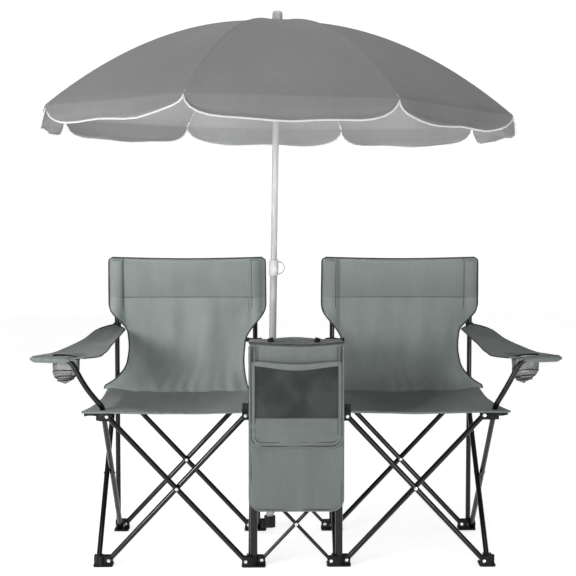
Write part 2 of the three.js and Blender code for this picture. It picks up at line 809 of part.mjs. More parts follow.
// u runs from the outer side to the inner one, v from the front hem to the post
function armrestSolid(sign) {
  const xAt = (pairs, v) => -(outerX + armrestFrontReach * along(pairs, v));
  const surface = (drop) => (u, v) => {
    const x = lerp(xAt(armrestOuterShares, v), xAt(armrestInnerShares, v), u);
    const rise = along(armrestRiseShares, v);
    return [x, lerp(-armrestFront, armrestRear, v), lerp(armrestFrontHeight, armrestRearHeight, rise) - drop];
  };
  const cloth = sheet(surface(0), surface(armrestThickness), evenShares(armrestColumns), armrestRowShares);
  const atPost = (height) => [-outerX, columnY, height];
  const loopLow = armrestRearHeight - loopHeight / 2;
  const loop = bar(atPost(loopLow), atPost(loopLow + loopHeight), loopRadius, poleSides);
  const postRoom = bar(atPost(0), atPost(backTop), backPostDiameter / 2 + sleeveGap, poleSides);
  const cupTop = armrestFrontHeight + cupWall;
  const cup = cupNet().translate([-outerX - cupOut, -cupFront, cupTop]);
  const cupHole = bar([0, 0, -cupDepth], [0, 0, overrun], cupRadius - cupWall / 2, cupSides);
  const opened = join([cloth, loop]).subtract(cupHole.translate([-outerX - cupOut, -cupFront, cupTop]));
  const whole = opened.add(cup).subtract(postRoom);
  const hemEnds = [hemEnd(sign, 0), hemEnd(sign, hemTubeLength + hemPast)].map((end) => end.toArray());
  const hem = bar(hemEnds[0], hemEnds[1], tubeDiameter / 2 + hemGap + hemCloth, tubeSides);
  return (sign < 0 ? whole : mirrored(whole)).add(hem).subtract(armClearance(sign, hemGap));
}

// The cup net, hanging from a zero height
function cupNet() {
  return turned(
    [
      [0, -cupDepth],
      [cupBaseRadius, -cupDepth],
      [cupRadius, 0],
      [cupRadius - cupWall, 0],
      [cupBaseRadius - cupWall, cupWall - cupDepth],
      [0, cupWall - cupDepth],
    ],
    cupSides,
  );
}

for (const [side, sign] of [['left', -1], ['right', 1]]) {
  addNode(`seat_${side}`, seatSolid(sign), 'darkCloth');
  addNode(`backrest_${side}`, sign < 0 ? backSolid() : mirrored(backSolid()), 'cloth');
  addNode(`armrest_${side}`, armrestSolid(sign), 'cloth');
}

// The cooler bag hangs on loops round the front posts, its box between them and its front panel before them
function bagSolid() {
  const upper = box([-bagHalfWidth, -bagPanelFront, bagStepHeight], [bagHalfWidth, -bagBack, bagTop]);
  const lower = box([-bagHalfWidth, -bagStepFront, bagBottom], [bagHalfWidth, -bagBack, bagTop]);
  const loops = [-innerX, innerX].map((x) => {
    const radius = frontPostDiameter / 2 + fitGap + bagLoopWall;
    const loop = bar([x, -columnY, pocketTop], [x, -columnY, pocketTop + bagLoopHeight], radius, poleSides);
    const side = Math.sign(x) * (bagHalfWidth - bagWall / 2);
    const tab = box(
      [Math.min(x, side), -columnY - bagLoopWall, pocketTop],
      [Math.max(x, side), bagLoopWall - columnY, pocketTop + bagLoopHeight],
    );
    return loop.add(tab);
  });
  const outside = join([lower, upper, frontPanel(), ...loops]);
  const inX = bagHalfWidth - bagWall;
  const hollowUpper = box(
    [-inX, bagWall - bagPanelFront, bagStepHeight + bagWall],
    [inX, -bagBack - bagWall, bagTop + overrun],
  );
  const hollowLower = box(
    [-inX, bagWall - bagStepFront, bagBottom + bagWall],
    [inX, -bagBack - bagWall, bagTop + overrun],
  );
  const bores = [-innerX, innerX].map((x) => {
    const radius = frontPostDiameter / 2 + fitGap;
    return bar([x, -columnY, bagBottom], [x, -columnY, bagTop], radius, poleSides);
  });
  return cut(outside, [hollowUpper, hollowLower, ...bores]);
}

// The piped front panel with its open pocket, drawn in X and Z
function frontPanel() {
  const raised = (shape, front, depth) => {
    const options = { depth, bevelEnabled: false, curveSegments: bagCornerSteps };
    const geometry = new THREE.ExtrudeGeometry(shape, options);
    geometry.rotateX(Math.PI / 2);
    geometry.translate(0, -front + depth, 0);
    return solidOf(geometry);
  };
  const wide = bagPanelHalfWidth;
  const panel = raised(roundedFoot(wide, bagBottom, bagTop, bagCorner), bagPanelFront, bagWall);
  const front = bagPanelFront + pocketDepth;
  const outline = roundedFoot(wide, pocketBottom, pocketTop, bagCorner);
  const pocket = raised(outline, front, pocketDepth + pocketWall / 2);
  const inside = roundedFoot(wide - pocketWall, pocketBottom + pocketWall, pocketTop + overrun, bagCorner);
  return join([panel, pocket.subtract(raised(inside, front - pocketWall, pocketDepth - pocketWall))]);
}

function roundedFoot(halfWidth, low, high, radius) {
  const shape = new THREE.Shape();
  shape.moveTo(-halfWidth, high);
  shape.lineTo(-halfWidth, low + radius);
  shape.absarc(radius - halfWidth, low + radius, radius, Math.PI, 1.5 * Math.PI);
  shape.lineTo(halfWidth - radius, low);
  shape.absarc(halfWidth - radius, low + radius, radius, -Math.PI / 2, 0);
  shape.lineTo(halfWidth, high);
  return shape;
}

addNode('cooler_bag', bagSolid(), 'cloth');

const lidHalfWidth = bagPanelHalfWidth + lidOverhang;
const lidOutline = roundedRectangle(
  -lidHalfWidth,
  -bagPanelFront - lidOverhang,
  lidHalfWidth,
  lidOverhang - bagBack,
  lidCorner,
);
addNode('bag_lid', plate(lidOutline, bagTop + fitGap, bagTop + fitGap + lidThickness), 'cloth');

// The umbrella stands in its socket, leaning a little, with its zero height on the socket's floor
const umbrella = new THREE.Group();
const umbrellaFoot = socketBottom + socketFloor;
umbrella.position.set(socketX, socketY, umbrellaFoot);
umbrella.rotation.y = THREE.MathUtils.degToRad(umbrellaLean);
loveseat.add(umbrella);

const up = (height) => height - umbrellaFoot;

// A bore that a pole of the same number of sides clears at any turn
const boreRound = (radius) => (radius + fitGap) / Math.cos(Math.PI / poleSides);

function pole(low, high, diameter) {
  return bar([0, 0, up(low)], [0, 0, up(high)], diameter / 2, poleSides, diameter / 2 - poleWall);
}

const lowerPole = pole(umbrellaFoot + fitGap, lowerPoleTop, lowerPoleDiameter);
const upperPole = pole(upperPoleBottom, upperPoleTop, upperPoleDiameter);
addNode('umbrella_pole_lower', lowerPole, 'whiteSteel', umbrella);
addNode('umbrella_pole_upper', upperPole, 'whiteSteel', umbrella);

// The collar that locks the telescoping pole, with its spring pin's wire loop
function collarSolid() {
  const wide = boreRound(lowerPoleDiameter / 2);
  const narrow = boreRound(upperPoleDiameter / 2);
  const step = up(lowerPoleTop) + fitGap;
  const ring = turned(
    [
      [wide, up(collarBottom)],
      [collarRadius, up(collarBottom)],
      [collarRadius, up(collarTop)],
      [narrow, up(collarTop)],
      [narrow, step],
      [wide, step],
    ],
    poleSides,
  );
  const middle = up((collarBottom + collarTop) / 2);
  const rooted = collarRadius - collarWireRadius;
  const half = collarWireHeight / 2;
  const wire = new THREE.CubicBezierCurve3(
    new THREE.Vector3(rooted, 0, middle - half),
    new THREE.Vector3(collarRadius + collarWireReach, 0, middle - half),
    new THREE.Vector3(collarRadius + collarWireReach, 0, middle + half),
    new THREE.Vector3(rooted, 0, middle + half),
  );
  return ring.add(sweep(wire, collarWireSteps, collarWireRadius, rivetSides));
}

addNode('umbrella_collar', collarSolid(), 'whitePlastic', umbrella);

// The dome is part of a sphere at its ribs and straight between them
const domeRadius = (canopyRadius ** 2 + canopyRise ** 2) / (2 * canopyRise);
const domeCentre = up(canopyApex) - domeRadius;
const angleAt = (radius) => Math.asin(radius / domeRadius);
const holeAngle = angleAt(canopyHole);
const rimAngle = angleAt(canopyRadius);
const rowAngles = evenShares(domeRows).map((share) => lerp(holeAngle, rimAngle, share));
const ribTurn = (rib) => THREE.MathUtils.degToRad(canopyTurn) + (2 * Math.PI * rib) / goreCount;

function ribPoint(rib, angle, inset) {
  const reach = (domeRadius - inset) * Math.sin(angle);
  const turn = ribTurn(rib);
  const height = domeCentre + (domeRadius - inset) * Math.cos(angle);
  return new THREE.Vector3(reach * Math.cos(turn), reach * Math.sin(turn), height);
}

// u counts gores round the dome, v runs from 0 at the top over 1 at the rim to 2 at the valance's edge
function canopySurface(inset) {
  return (u, v) => {
    const gore = Math.floor(u);
    const angle = lerp(holeAngle, rimAngle, Math.min(v, 1));
    const point = ribPoint(gore, angle, inset).lerp(ribPoint(gore + 1, angle, inset), u - gore);
    const corner = Math.abs(2 * (u - gore) - 1) ** valanceCornerPower;
    const drop = lerp(valanceTip, valanceDepth, Math.sqrt(1 - corner));
    return [point.x, point.y, point.z - drop * Math.max(0, v - 1)];
  };
}

function canopySolid() {
  const columnsOf = (_, gore) => goreShares.map((share) => gore + (share + 1) / 2);
  const around = Array.from({ length: goreCount }, columnsOf).flat();
  const down = [...evenShares(domeRows), ...valanceShares];
  return sheet(canopySurface(canopyThickness), canopySurface(0), around, down, true);
}

const ribInset = canopyThickness + fitGap + ribRadius;

function ribPath(rib) {
  const rooted = angleAt(crownRadius - ribRadius);
  const angles = [rooted, ...rowAngles.slice(1, -1), angleAt(canopyRadius - ribShort)];
  const points = angles.map((angle) => ribPoint(rib, angle, ribInset));
  const stretches = points.slice(1).map((point, i) => ({
    curve: new THREE.LineCurve3(points[i], point),
    steps: 1,
  }));
  return new SteppedPath(stretches);
}

// The crown over the pole's end, with the finial above the cloth and the ribs under it
function crownSolid() {
  const bore = boreRound(upperPoleDiameter / 2);
  const shoulder = up(canopyApex) - canopyThickness - ribInset;
  const cap = up(canopyApex) + fitGap;
  const body = turned(
    [
      [bore, up(upperPoleTop) - crownHeight],
      [crownRadius, up(upperPoleTop) - crownHeight],
      [crownRadius, shoulder],
      [crownNeckRadius, shoulder + crownNeckBevel],
      [crownNeckRadius, cap],
      [finialRadius, cap],
      [finialRadius, cap + finialHeight - finialRounding],
      [finialTopRadius, cap + finialHeight - fitGap],
      [0, cap + finialHeight],
      [0, up(upperPoleTop) + fitGap],
      [bore, up(upperPoleTop) + fitGap],
    ],
    poleSides,
  );
  const ribOf = (_, rib) => sweep(ribPath(rib), domeRows, ribRadius, wireSides);
  const ribs = Array.from({ length: goreCount }, ribOf);
  return join([body, ...ribs]);
}

// The runner on the pole, with the stretchers that hold the ribs out
function runnerSolid() {
  const bore = boreRound(upperPoleDiameter / 2);
  const ring = turned(
    [
      [bore, up(runnerTop) - runnerHeight],
      [runnerRadius, up(runnerTop) - runnerHeight],
      [runnerRadius, up(runnerTop)],
      [bore, up(runnerTop)],
    ],
    poleSides,
  );
  const stretchers = Array.from({ length: goreCount }, (_, rib) => {
    const inset = ribInset + ribRadius + stretcherRadius + fitGap;
    const end = ribPoint(rib, rowAngles[stretcherRow], inset);
    const rooted = runnerRadius - stretcherRadius;
    const turn = ribTurn(rib);
    const start = [rooted * Math.cos(turn), rooted * Math.sin(turn), up(runnerTop) - runnerHeight / 4];
    return bar(start, end.toArray(), stretcherRadius, wireSides);
  });
  return join([ring, ...stretchers]);
}

addNode('umbrella_canopy', canopySolid(), 'canopyCloth', umbrella);
addNode('umbrella_crown', crownSolid(), 'whiteSteel', umbrella);
addNode('umbrella_runner', runnerSolid(), 'whitePlastic', umbrella);

// The origin is moved to the ground under the middle of the whole
loveseat.updateMatrixWorld(true);
const middleOfAll = new THREE.Box3().setFromObject(loveseat, true).getCenter(new THREE.Vector3());
for (const child of loveseat.children) {
  child.position.x -= middleOfAll.x;
  child.position.y -= middleOfAll.y;
}

export default loveseat;
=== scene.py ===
import json
import math
from contextlib import contextmanager

import bpy
import numpy as np
from mathutils import Matrix, Vector, noise

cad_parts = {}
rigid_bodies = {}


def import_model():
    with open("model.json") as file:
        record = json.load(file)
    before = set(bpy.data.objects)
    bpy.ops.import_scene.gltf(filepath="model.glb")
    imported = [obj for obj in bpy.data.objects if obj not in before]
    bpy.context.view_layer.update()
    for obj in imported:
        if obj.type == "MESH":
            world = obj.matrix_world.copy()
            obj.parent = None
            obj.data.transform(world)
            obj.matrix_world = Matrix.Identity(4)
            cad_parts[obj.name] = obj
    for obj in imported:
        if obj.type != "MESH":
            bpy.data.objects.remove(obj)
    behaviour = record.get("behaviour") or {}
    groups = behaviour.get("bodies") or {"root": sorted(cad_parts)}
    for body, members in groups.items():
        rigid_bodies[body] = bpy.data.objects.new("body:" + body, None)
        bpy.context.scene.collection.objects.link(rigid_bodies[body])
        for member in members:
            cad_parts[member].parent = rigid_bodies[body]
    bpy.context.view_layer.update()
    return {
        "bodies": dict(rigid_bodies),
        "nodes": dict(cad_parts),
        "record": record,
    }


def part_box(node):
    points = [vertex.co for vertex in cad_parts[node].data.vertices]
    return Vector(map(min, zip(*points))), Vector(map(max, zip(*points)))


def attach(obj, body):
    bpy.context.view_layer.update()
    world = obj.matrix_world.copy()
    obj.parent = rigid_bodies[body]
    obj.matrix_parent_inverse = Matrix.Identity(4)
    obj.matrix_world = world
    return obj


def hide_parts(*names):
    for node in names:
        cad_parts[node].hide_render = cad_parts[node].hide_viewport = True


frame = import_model()

# A folding double camp chair with a cooler bag and an umbrella. Metres, +Z up, +Y to the back.


def middle(node):
    low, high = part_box(node)
    return (low + high) / 2


# Places worked out from the frame
BODY_OF = {node: body for body, nodes in frame["record"]["behaviour"]["bodies"].items() for node in nodes}
SIDES = {"left": -1, "right": 1}
COLUMN_X = {
    (place, side): middle(f"post_back_{place}_{side}").x for place in ("outer", "inner") for side in SIDES
}
ROW_Y = {row: middle(f"post_{row}_inner_left").y for row in ("front", "back")}
MIDDLE_X = (COLUMN_X["inner", "left"] + COLUMN_X["inner", "right"]) / 2
MIDDLE_Y = (ROW_Y["front"] + ROW_Y["back"]) / 2
LOW_PIVOT = 0.016
HIGH_PIVOT = middle("slider_back_outer_left").z
CENTRE_PIVOT = middle("middle_slider_back_left").z
SEAT_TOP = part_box("seat_left")[1].z
BACK_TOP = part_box("backrest_left")[1].z
TO_LEFT = Vector((-1, 0, 0))
TO_RIGHT = Vector((1, 0, 0))
TO_BACK = Vector((0, 1, 0))

# Sizes of the frame's parts
PIVOT_OFFSET = 0.022
TUBE_RADIUS = 0.0075
CENTRE_TUBE_RADIUS = 0.005
BACK_POST_RADIUS = 0.0075
FRONT_POST_RADIUS = 0.0105
TUBE_WALL = 0.001
TUBE_PAST_PIVOT = 0.0055
LANE = 0.008
CENTRE_LANE = 0.0055
CHEEK = 0.003
CENTRE_CHEEK = 0.0025
RIVET_HEAD_RADIUS = 0.0046
RIVET_HEAD_HEIGHT = 0.0017
LUG_REACH = 0.032
PLUG_HEIGHT = 0.006
MERGE_DISTANCE = 0.00002

# The photograph's camera
CAMERA_PLACE = (-0.069, -3.937, 0.985)
CAMERA_YAW = 0.01346
CAMERA_PITCH = 0.0591
CAMERA_LENS = 80.9
SENSOR_WIDTH = 36


def place_in_scene(name, data):
    thing = bpy.data.objects.new(name, data)
    bpy.context.scene.collection.objects.link(thing)
    return thing


def add_camera():
    data = bpy.data.cameras.new("camera")
    data.lens = CAMERA_LENS
    data.sensor_width = SENSOR_WIDTH
    camera = place_in_scene("camera", data)
    camera.location = CAMERA_PLACE
    camera.rotation_euler = (math.pi / 2 - CAMERA_PITCH, 0, -CAMERA_YAW)
    bpy.context.scene.camera = camera


add_camera()


# Materials


class Value:
    """A socket that Python's arithmetic turns into Math nodes."""

    def __init__(self, tree, socket):
        self.tree = tree
        self.socket = socket

    def output(self, name):
        """Another output of the same node."""
        return Value(self.tree, self.socket.node.outputs[name])

    def maths(self, operation, *others):
        return self.tree.node("ShaderNodeMath", {"operation": operation}, [self, *others])

    def __add__(self, other):
        return self.maths("ADD", other)

    def __mul__(self, other):
        return self.maths("MULTIPLY", other)

    def __sub__(self, other):
        return self.maths("SUBTRACT", other)

    def __rsub__(self, other):
        return self * -1 + other

    def __truediv__(self, other):
        return self.maths("DIVIDE", other)

    def __lt__(self, other):
        return self.maths("LESS_THAN", other)

    __radd__ = __add__
    __rmul__ = __mul__

    def absolute(self):
        return self.maths("ABSOLUTE")

    def wave(self, pitch):
        """A sine with a crest or a trough at every pitch."""
        return (self * (math.pi / pitch)).maths("SINE")

    def clamped(self):
        return self.tree.node("ShaderNodeClamp", {}, [self])

    def step(self, start, end):
        """0 below start, 1 above end, and smooth between them."""
        sockets = {"Value": self, "From Min": start, "From Max": end}
        return self.tree.node("ShaderNodeMapRange", {"interpolation_type": "SMOOTHSTEP"}, sockets)


class Nodes:
    """A node tree that is being made."""

    def __init__(self, tree):
        self.tree = tree

    def node(self, kind, settings=None, sockets=()):
        """Adds a node with its settings, then the values or links of its sockets. Gives its first output."""
        node = self.tree.nodes.new(kind)
        for name, value in (settings or {}).items():
            setattr(node, name, value)
        for name, value in sockets.items() if isinstance(sockets, dict) else enumerate(sockets):
            if isinstance(value, Value):
                self.tree.links.new(value.socket, node.inputs[name])
            else:
                node.inputs[name].default_value = value
        return Value(self, node.outputs[0])


WEAVE_MAP = "weave"


class Finish(Nodes):
    """A node-based material on the standard surface shader."""

    def __init__(self, name, **fixed):
        self.material = bpy.data.materials.new(name)
        self.material.use_nodes = True
        super().__init__(self.material.node_tree)
        self.surface = self.tree.nodes["Principled BSDF"]
        self.place = self.node("ShaderNodeTexCoord").output("Object")
        for socket, value in fixed.items():
            self.surface.inputs[socket.replace("_", " ")].default_value = value

    def noise(self, scale, detail=2, stretch=None):
        place = self.place
        if stretch:
            place = self.node("ShaderNodeMapping", {}, {"Vector": place, "Scale": stretch})
        sockets = {"Vector": place, "Scale": scale, "Detail": detail}
        return self.node("ShaderNodeTexNoise", {}, sockets).output("Fac")

    def threads(self):
        """The way across and along the cloth, in metres."""
        split = self.node("ShaderNodeSeparateXYZ", {}, [self.node("ShaderNodeUVMap", {"uv_map": WEAVE_MAP})])
        return split.output("X"), split.output("Y")

    def attribute(self, name):
        return self.node("ShaderNodeAttribute", {"attribute_name": name}).output("Fac")

    def mix(self, share, first, second):
        return self.node("ShaderNodeMix", {"data_type": "RGBA"}, {0: share, 6: first, 7: second}).output(2)

    def tones(self, share, colour, dark, light):
        """Runs from a darker to a lighter shade of a colour."""
        return self.mix(share, shade(colour, dark), shade(colour, light))

    def bump(self, height, distance, strength):
        return self.node("ShaderNodeBump", {}, {"Height": height, "Distance": distance, "Strength": strength})

    def feed(self, **sockets):
        """Links values to the surface's sockets and gives the material."""
        for name, value in sockets.items():
            self.tree.links.new(value.socket, self.surface.inputs[name.replace("_", " ")])
        return self.material


def shade(colour, share):
    """A colour made lighter or darker, with full alpha."""
    return (*(min(1, part * share) for part in colour), 1)


THREAD = 0.0011
STITCH_LENGTH = 0.0045
STITCH_SHARE = 0.68
STITCH_HALF_WIDTH = 0.0006
DARK_EDGE_WIDTH = 0.004


def stitch_mask(finish, rows):
    """Dashes of thread that run along an edge, at the given distances from it."""
    edge = finish.attribute("edge")
    dashes = (finish.attribute("run") / STITCH_LENGTH).maths("FRACT") < STITCH_SHARE
    lines = [(edge - distance).absolute() < STITCH_HALF_WIDTH for distance in rows]
    return (sum(lines[1:], lines[0]) * dashes).clamped()


def woven_cloth(name, colour, hems=(0.011,), roughness=0.5, sheen_stretch=(9, 9, 1.4), painted_shade_above=None):
    """Coated polyester with stitched hems, darker edges and a fine thread. Its tone varies at random and in
    soft upright bands of painted sheen. Above the seam height that it is given, two layers get painted shade,
    for the light that one layer lets through.
    """
    finish = Finish(name, Sheen_Weight=0.18, Sheen_Roughness=0.4, Specular_IOR_Level=0.45)
    across, length = finish.threads()
    threads = across.wave(THREAD) * length.wave(THREAD) * 0.5 + 0.5
    # Painted sheen: noise stretched upright makes soft vertical bands of light in the colour; it also varies
    # the tone at random.
    cloudy = finish.noise(3.2, 3, sheen_stretch)
    mottled = finish.noise(46, 4)
    stitches = stitch_mask(finish, hems)
    # Darker within a few millimetres of the cloth's cut edges.
    edge_dark = 1 - finish.attribute("edge").step(0.0, DARK_EDGE_WIDTH)
    tone = cloudy * 0.55 + mottled * 0.25 + threads * 0.2
    cloth = finish.tones(tone.step(0.25, 0.75), colour, 0.86, 1.12)
    # Painted shade: above the seam the colour is darkened, for the light from behind that one layer of cloth
    # lets through and two layers stop.
    if painted_shade_above:
        height = finish.node("ShaderNodeSeparateXYZ", {}, [finish.place]).output("Z")
        painted_shade = height.step(painted_shade_above - 0.001, painted_shade_above + 0.001)
        cloth = finish.mix(painted_shade * 0.55, cloth, shade(colour, 0.66))
    bound = finish.mix(edge_dark * 0.35, cloth, shade(colour, 0.62))
    sewn = finish.mix(stitches * 0.75, bound, shade(colour, 1.45))
    height = threads * 0.35 + stitches * 0.8 + mottled * 0.15
    rough = mottled * 0.12 + cloudy * 0.1 + (roughness - 0.1)
    return finish.feed(Base_Color=sewn, Roughness=rough, Normal=finish.bump(height, 0.0006, 0.5))


def lattice(first, second, pitch, cover):
    """Two sets of threads: 1 on a thread and 0 in a hole."""
    return ((first.wave(pitch).absolute() < cover) + (second.wave(pitch).absolute() < cover)).clamped()


def netting(name, colour, pitch, cover):
    """Open knitted mesh whose holes let the light through."""
    finish = Finish(name, Roughness=0.6)
    across, length = finish.threads()
    thread = lattice(across + length, across - length, pitch, cover)
    alpha = (thread * 0.95 + 0.05).clamped()
    colours = finish.tones(finish.noise(60), colour, 0.85, 1.15)
    return finish.feed(Base_Color=colours, Alpha=alpha, Normal=finish.bump(thread, 0.0004, 0.5))


def dark_mesh(name, colour, pitch, cover):
    """Close mesh over a dark lining."""
    finish = Finish(name, Roughness=0.7)
    thread = lattice(*finish.threads(), pitch, cover)
    cloudy = finish.noise(11, 4, (1, 1, 0.8))
    lining = finish.tones(cloudy.step(0.38, 0.62), colour, 0.35, 1.35)
    colours = finish.mix(thread * 0.5, lining, shade(colour, 1.7))
    return finish.feed(Base_Color=colours, Normal=finish.bump(thread, 0.0005, 0.6))


def coated_steel(name, colour, roughness, gloss):
    """Powder coat over steel tube: fine orange peel, with duller scuffs."""
    finish = Finish(name, Specular_IOR_Level=2 * gloss, Coat_Roughness=0.06)
    peel = finish.noise(620)
    scuffs = finish.noise(24, 5, (1, 1, 0.35)).step(0.56, 0.72)
    return finish.feed(
        Base_Color=finish.tones(scuffs, colour, 1.0, 1.35),
        Roughness=scuffs * 0.18 + peel * 0.05 + roughness,
        Coat_Weight=scuffs * -0.8 * gloss + gloss,
        Normal=finish.bump(peel, 0.0001, 0.15),
    )


def moulded_plastic(name, colour, roughness=0.45):
    """Moulded plastic with a fine grain and rubbed edges."""
    finish = Finish(name, Specular_IOR_Level=0.22)
    grain = finish.noise(1400, 3)
    handled = finish.noise(38, 4).step(0.5, 0.75)
    return finish.feed(
        Base_Color=finish.tones(handled, colour, 0.85, 1.4),
        Roughness=handled * 0.15 + grain * 0.08 + roughness,
        Normal=finish.bump(grain, 0.00012, 0.5),
    )


def plated_metal(name):
    finish = Finish(name, Metallic=1.0)
    brushed = finish.noise(420, 3)
    colours = finish.mix(brushed, (0.62, 0.62, 0.61, 1), (0.86, 0.86, 0.85, 1))
    return finish.feed(Base_Color=colours, Roughness=brushed * 0.14 + 0.2)


def soft_binding(name, colour, sheen=0.2):
    """Folded tape and piping: fine diagonal threads without a map of their own."""
    finish = Finish(name, Roughness=0.6, Sheen_Weight=sheen, Specular_IOR_Level=0.3)
    fine = finish.noise(1600, stretch=(1, 0.4, 1))
    colours = finish.tones(finish.noise(70, 3), colour, 0.84, 1.14)
    return finish.feed(Base_Color=colours, Normal=finish.bump(fine, 0.0003, 0.6))


GREY_GREEN = (0.24, 0.274, 0.262)
BAG_GREEN = (0.131, 0.149, 0.143)
SEAT_GREEN = (0.155, 0.178, 0.169)
ARM_GREEN = (0.15, 0.173, 0.164)
CANOPY_GREY = (0.27, 0.27, 0.271)
BACK_SEAM = 0.7215

CHAIR_CLOTH = woven_cloth("chair_cloth", GREY_GREEN, painted_shade_above=BACK_SEAM)
SEAT_CLOTH = woven_cloth("seat_cloth", SEAT_GREEN, hems=(0.01, 0.016))
ARM_CLOTH = woven_cloth("armrest_cloth", ARM_GREEN, hems=(0.008,))
BAG_CLOTH = woven_cloth("bag_cloth", BAG_GREEN, hems=(0.006,))
CANOPY_CLOTH = woven_cloth("canopy_cloth", CANOPY_GREY, hems=(0.006,), roughness=0.62, sheen_stretch=(1, 1, 1))
BINDING = soft_binding("binding", (0.034, 0.041, 0.038), 0.1)
PIPING = soft_binding("piping", (0.155, 0.175, 0.168))
WHITE_PIPING = soft_binding("white_piping", (0.88, 0.88, 0.87))
SEAM_TAPE = soft_binding("seam_tape", (0.29, 0.29, 0.292))
LID_CLOTH = soft_binding("lid_cloth", BAG_GREEN)
BLACK_WEBBING = soft_binding("black_webbing", (0.006, 0.006, 0.0065), 0.04)
CUP_NET = netting("cup_net", (0.22, 0.226, 0.226), 0.0034, 0.42)
WINDOW_MESH = dark_mesh("window_mesh", (0.029, 0.033, 0.0318), 0.0028, 0.32)
BLACK_STEEL = coated_steel("black_steel", (0.003, 0.0031, 0.0034), 0.11, 0.15)
BLACK_PLASTIC = moulded_plastic("black_plastic", (0.009, 0.0091, 0.0096))
WHITE_STEEL = coated_steel("white_steel", (0.44, 0.44, 0.44), 0.25, 0.1)
WHITE_PLASTIC = moulded_plastic("white_plastic", (0.74, 0.74, 0.735), 0.35)
RIVET_METAL = plated_metal("rivet_metal")


# Modelling tools


def choose(piece):
    """Leaves only this piece selected and active."""
    bpy.ops.object.select_all(action="DESELECT")
    piece.select_set(True)
    bpy.context.view_layer.objects.active = piece
    return piece


def named(piece, name):
    piece.name = name
    piece.data.name = name
    return piece


def settle(piece, name):
    """Puts the piece's place into its mesh and names it."""
    choose(piece)
    bpy.ops.object.transform_apply(location=True, rotation=True, scale=True)
    return named(piece, name)


def join(name, pieces):
    choose(pieces[0])
    for piece in pieces[1:]:
        piece.select_set(True)
    if len(pieces) > 1:
        bpy.ops.object.join()
    return named(pieces[0], name)


def smooth(piece, angle=35):
    choose(piece)
    bpy.ops.object.shade_smooth_by_angle(angle=math.radians(angle))
    return piece


def coloured(piece, material):
    piece.data.materials.append(material)
    return piece


def dress(piece, material, body, replaces=()):
    """Gives a piece its finish, the body it rides on and the solids it stands for."""
    if material:
        piece.data.materials.clear()
        coloured(piece, material)
    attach(piece, body)
    if replaces:
        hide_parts(*replaces)
    return piece


def reshape(piece, kind, **settings):
    """Adds a modifier with its settings and applies it."""
    modifier = piece.modifiers.new(kind, kind)
    for name, value in settings.items():
        setattr(modifier, name, value)
    choose(piece)
    bpy.ops.object.modifier_apply(modifier=modifier.name)
    return piece


def ease(piece, width, segments=2, angle=30):
    """Rounds the edges that are sharper than an angle."""
    limit = math.radians(angle)
    return reshape(piece, "BEVEL", width=width, segments=segments, limit_method="ANGLE", angle_limit=limit)


@contextmanager
def editing(piece, wanted=lambda face: True):
    """Opens edit mode on the faces that a test picks, and closes it at the end."""
    choose(piece)
    bpy.context.tool_settings.mesh_select_mode = (False, False, True)
    for part in (piece.data.vertices, piece.data.edges, piece.data.polygons):
        part.foreach_set("select", [False] * len(part))
    for polygon in piece.data.polygons:
        polygon.select = wanted(polygon)
    bpy.ops.object.mode_set(mode="EDIT")
    yield
    bpy.ops.object.mode_set(mode="OBJECT")


def facing_up(face):
    return face.normal.z > 0.9


def aimed(start, end):
    """Turns +Z to run from start to end, with the origin half way."""
    turn = (end - start).to_track_quat("Z", "Y").to_matrix().to_4x4()
    return Matrix.Translation((start + end) / 2) @ turn


def tube(name, start, end, radius, sides=32):
    """A round tube whose ends are inset and pushed in, so that its wall shows."""
    length = (end - start).length
    bpy.ops.mesh.primitive_cylinder_add(vertices=sides, radius=radius, depth=length, end_fill_type="NGON")
    piece = bpy.context.object
    with editing(piece, lambda face: abs(face.normal.z) > 0.9):
        bpy.ops.mesh.inset(thickness=TUBE_WALL * 0.4, depth=TUBE_WALL * 0.3)
        bpy.ops.mesh.inset(thickness=TUBE_WALL * 0.6)
        bpy.ops.mesh.extrude_region_shrink_fatten(TRANSFORM_OT_shrink_fatten={"value": -4 * radius})
    piece.matrix_world = aimed(start, end)
    return smooth(settle(piece, name))


def bent_tube(name, points, radius, sides, cyclic=False, swell=None):
    """A round bar, tube or roll along a line of points, with its thickness changed by swell."""
    data = bpy.data.curves.new(name, "CURVE")
    data.dimensions = "3D"
    data.bevel_depth = radius
    data.bevel_resolution = sides
    data.use_fill_caps = True
    spline = data.splines.new("POLY")
    spline.points.add(len(points) - 1)
    spline.use_cyclic_u = cyclic
    for number, (point, place) in enumerate(zip(spline.points, points)):
        point.co = (*place, 1)
        point.radius = swell[number] if swell else 1
    choose(place_in_scene(name, data))
    bpy.ops.object.convert(target="MESH")
    return smooth(settle(bpy.context.object, name), 60)


def rivet_head(place, outward):
    """A domed head on a rivet: a disc whose outer rim is rounded over."""
    bpy.ops.mesh.primitive_cylinder_add(vertices=20, radius=RIVET_HEAD_RADIUS, depth=RIVET_HEAD_HEIGHT)
    head = bpy.context.object
    with editing(head, facing_up):
        bpy.ops.mesh.inset(thickness=RIVET_HEAD_RADIUS * 0.3, depth=0)
        bpy.ops.mesh.inset(thickness=RIVET_HEAD_RADIUS * 0.35, depth=RIVET_HEAD_HEIGHT * 0.45)
    head.matrix_world = aimed(place, place + outward * RIVET_HEAD_HEIGHT)
    return coloured(smooth(settle(head, "rivet"), 70), RIVET_METAL)


def rivet_pair(place, axis, reach):
    """The heads at both ends of a rivet."""
    return [rivet_head(place + axis * reach * way, axis * way) for way in (-1, 1)]


def moulded_copy(node):
    """The solid of a moulding, merged and with its edges eased."""
    piece = place_in_scene(f"{node}_moulding", frame["nodes"][node].data.copy())
    with editing(piece):
        bpy.ops.mesh.remove_doubles(threshold=MERGE_DISTANCE)
        bpy.ops.mesh.dissolve_limited(angle_limit=math.radians(1.5))
    return smooth(ease(piece, 0.0005, angle=40), 32)


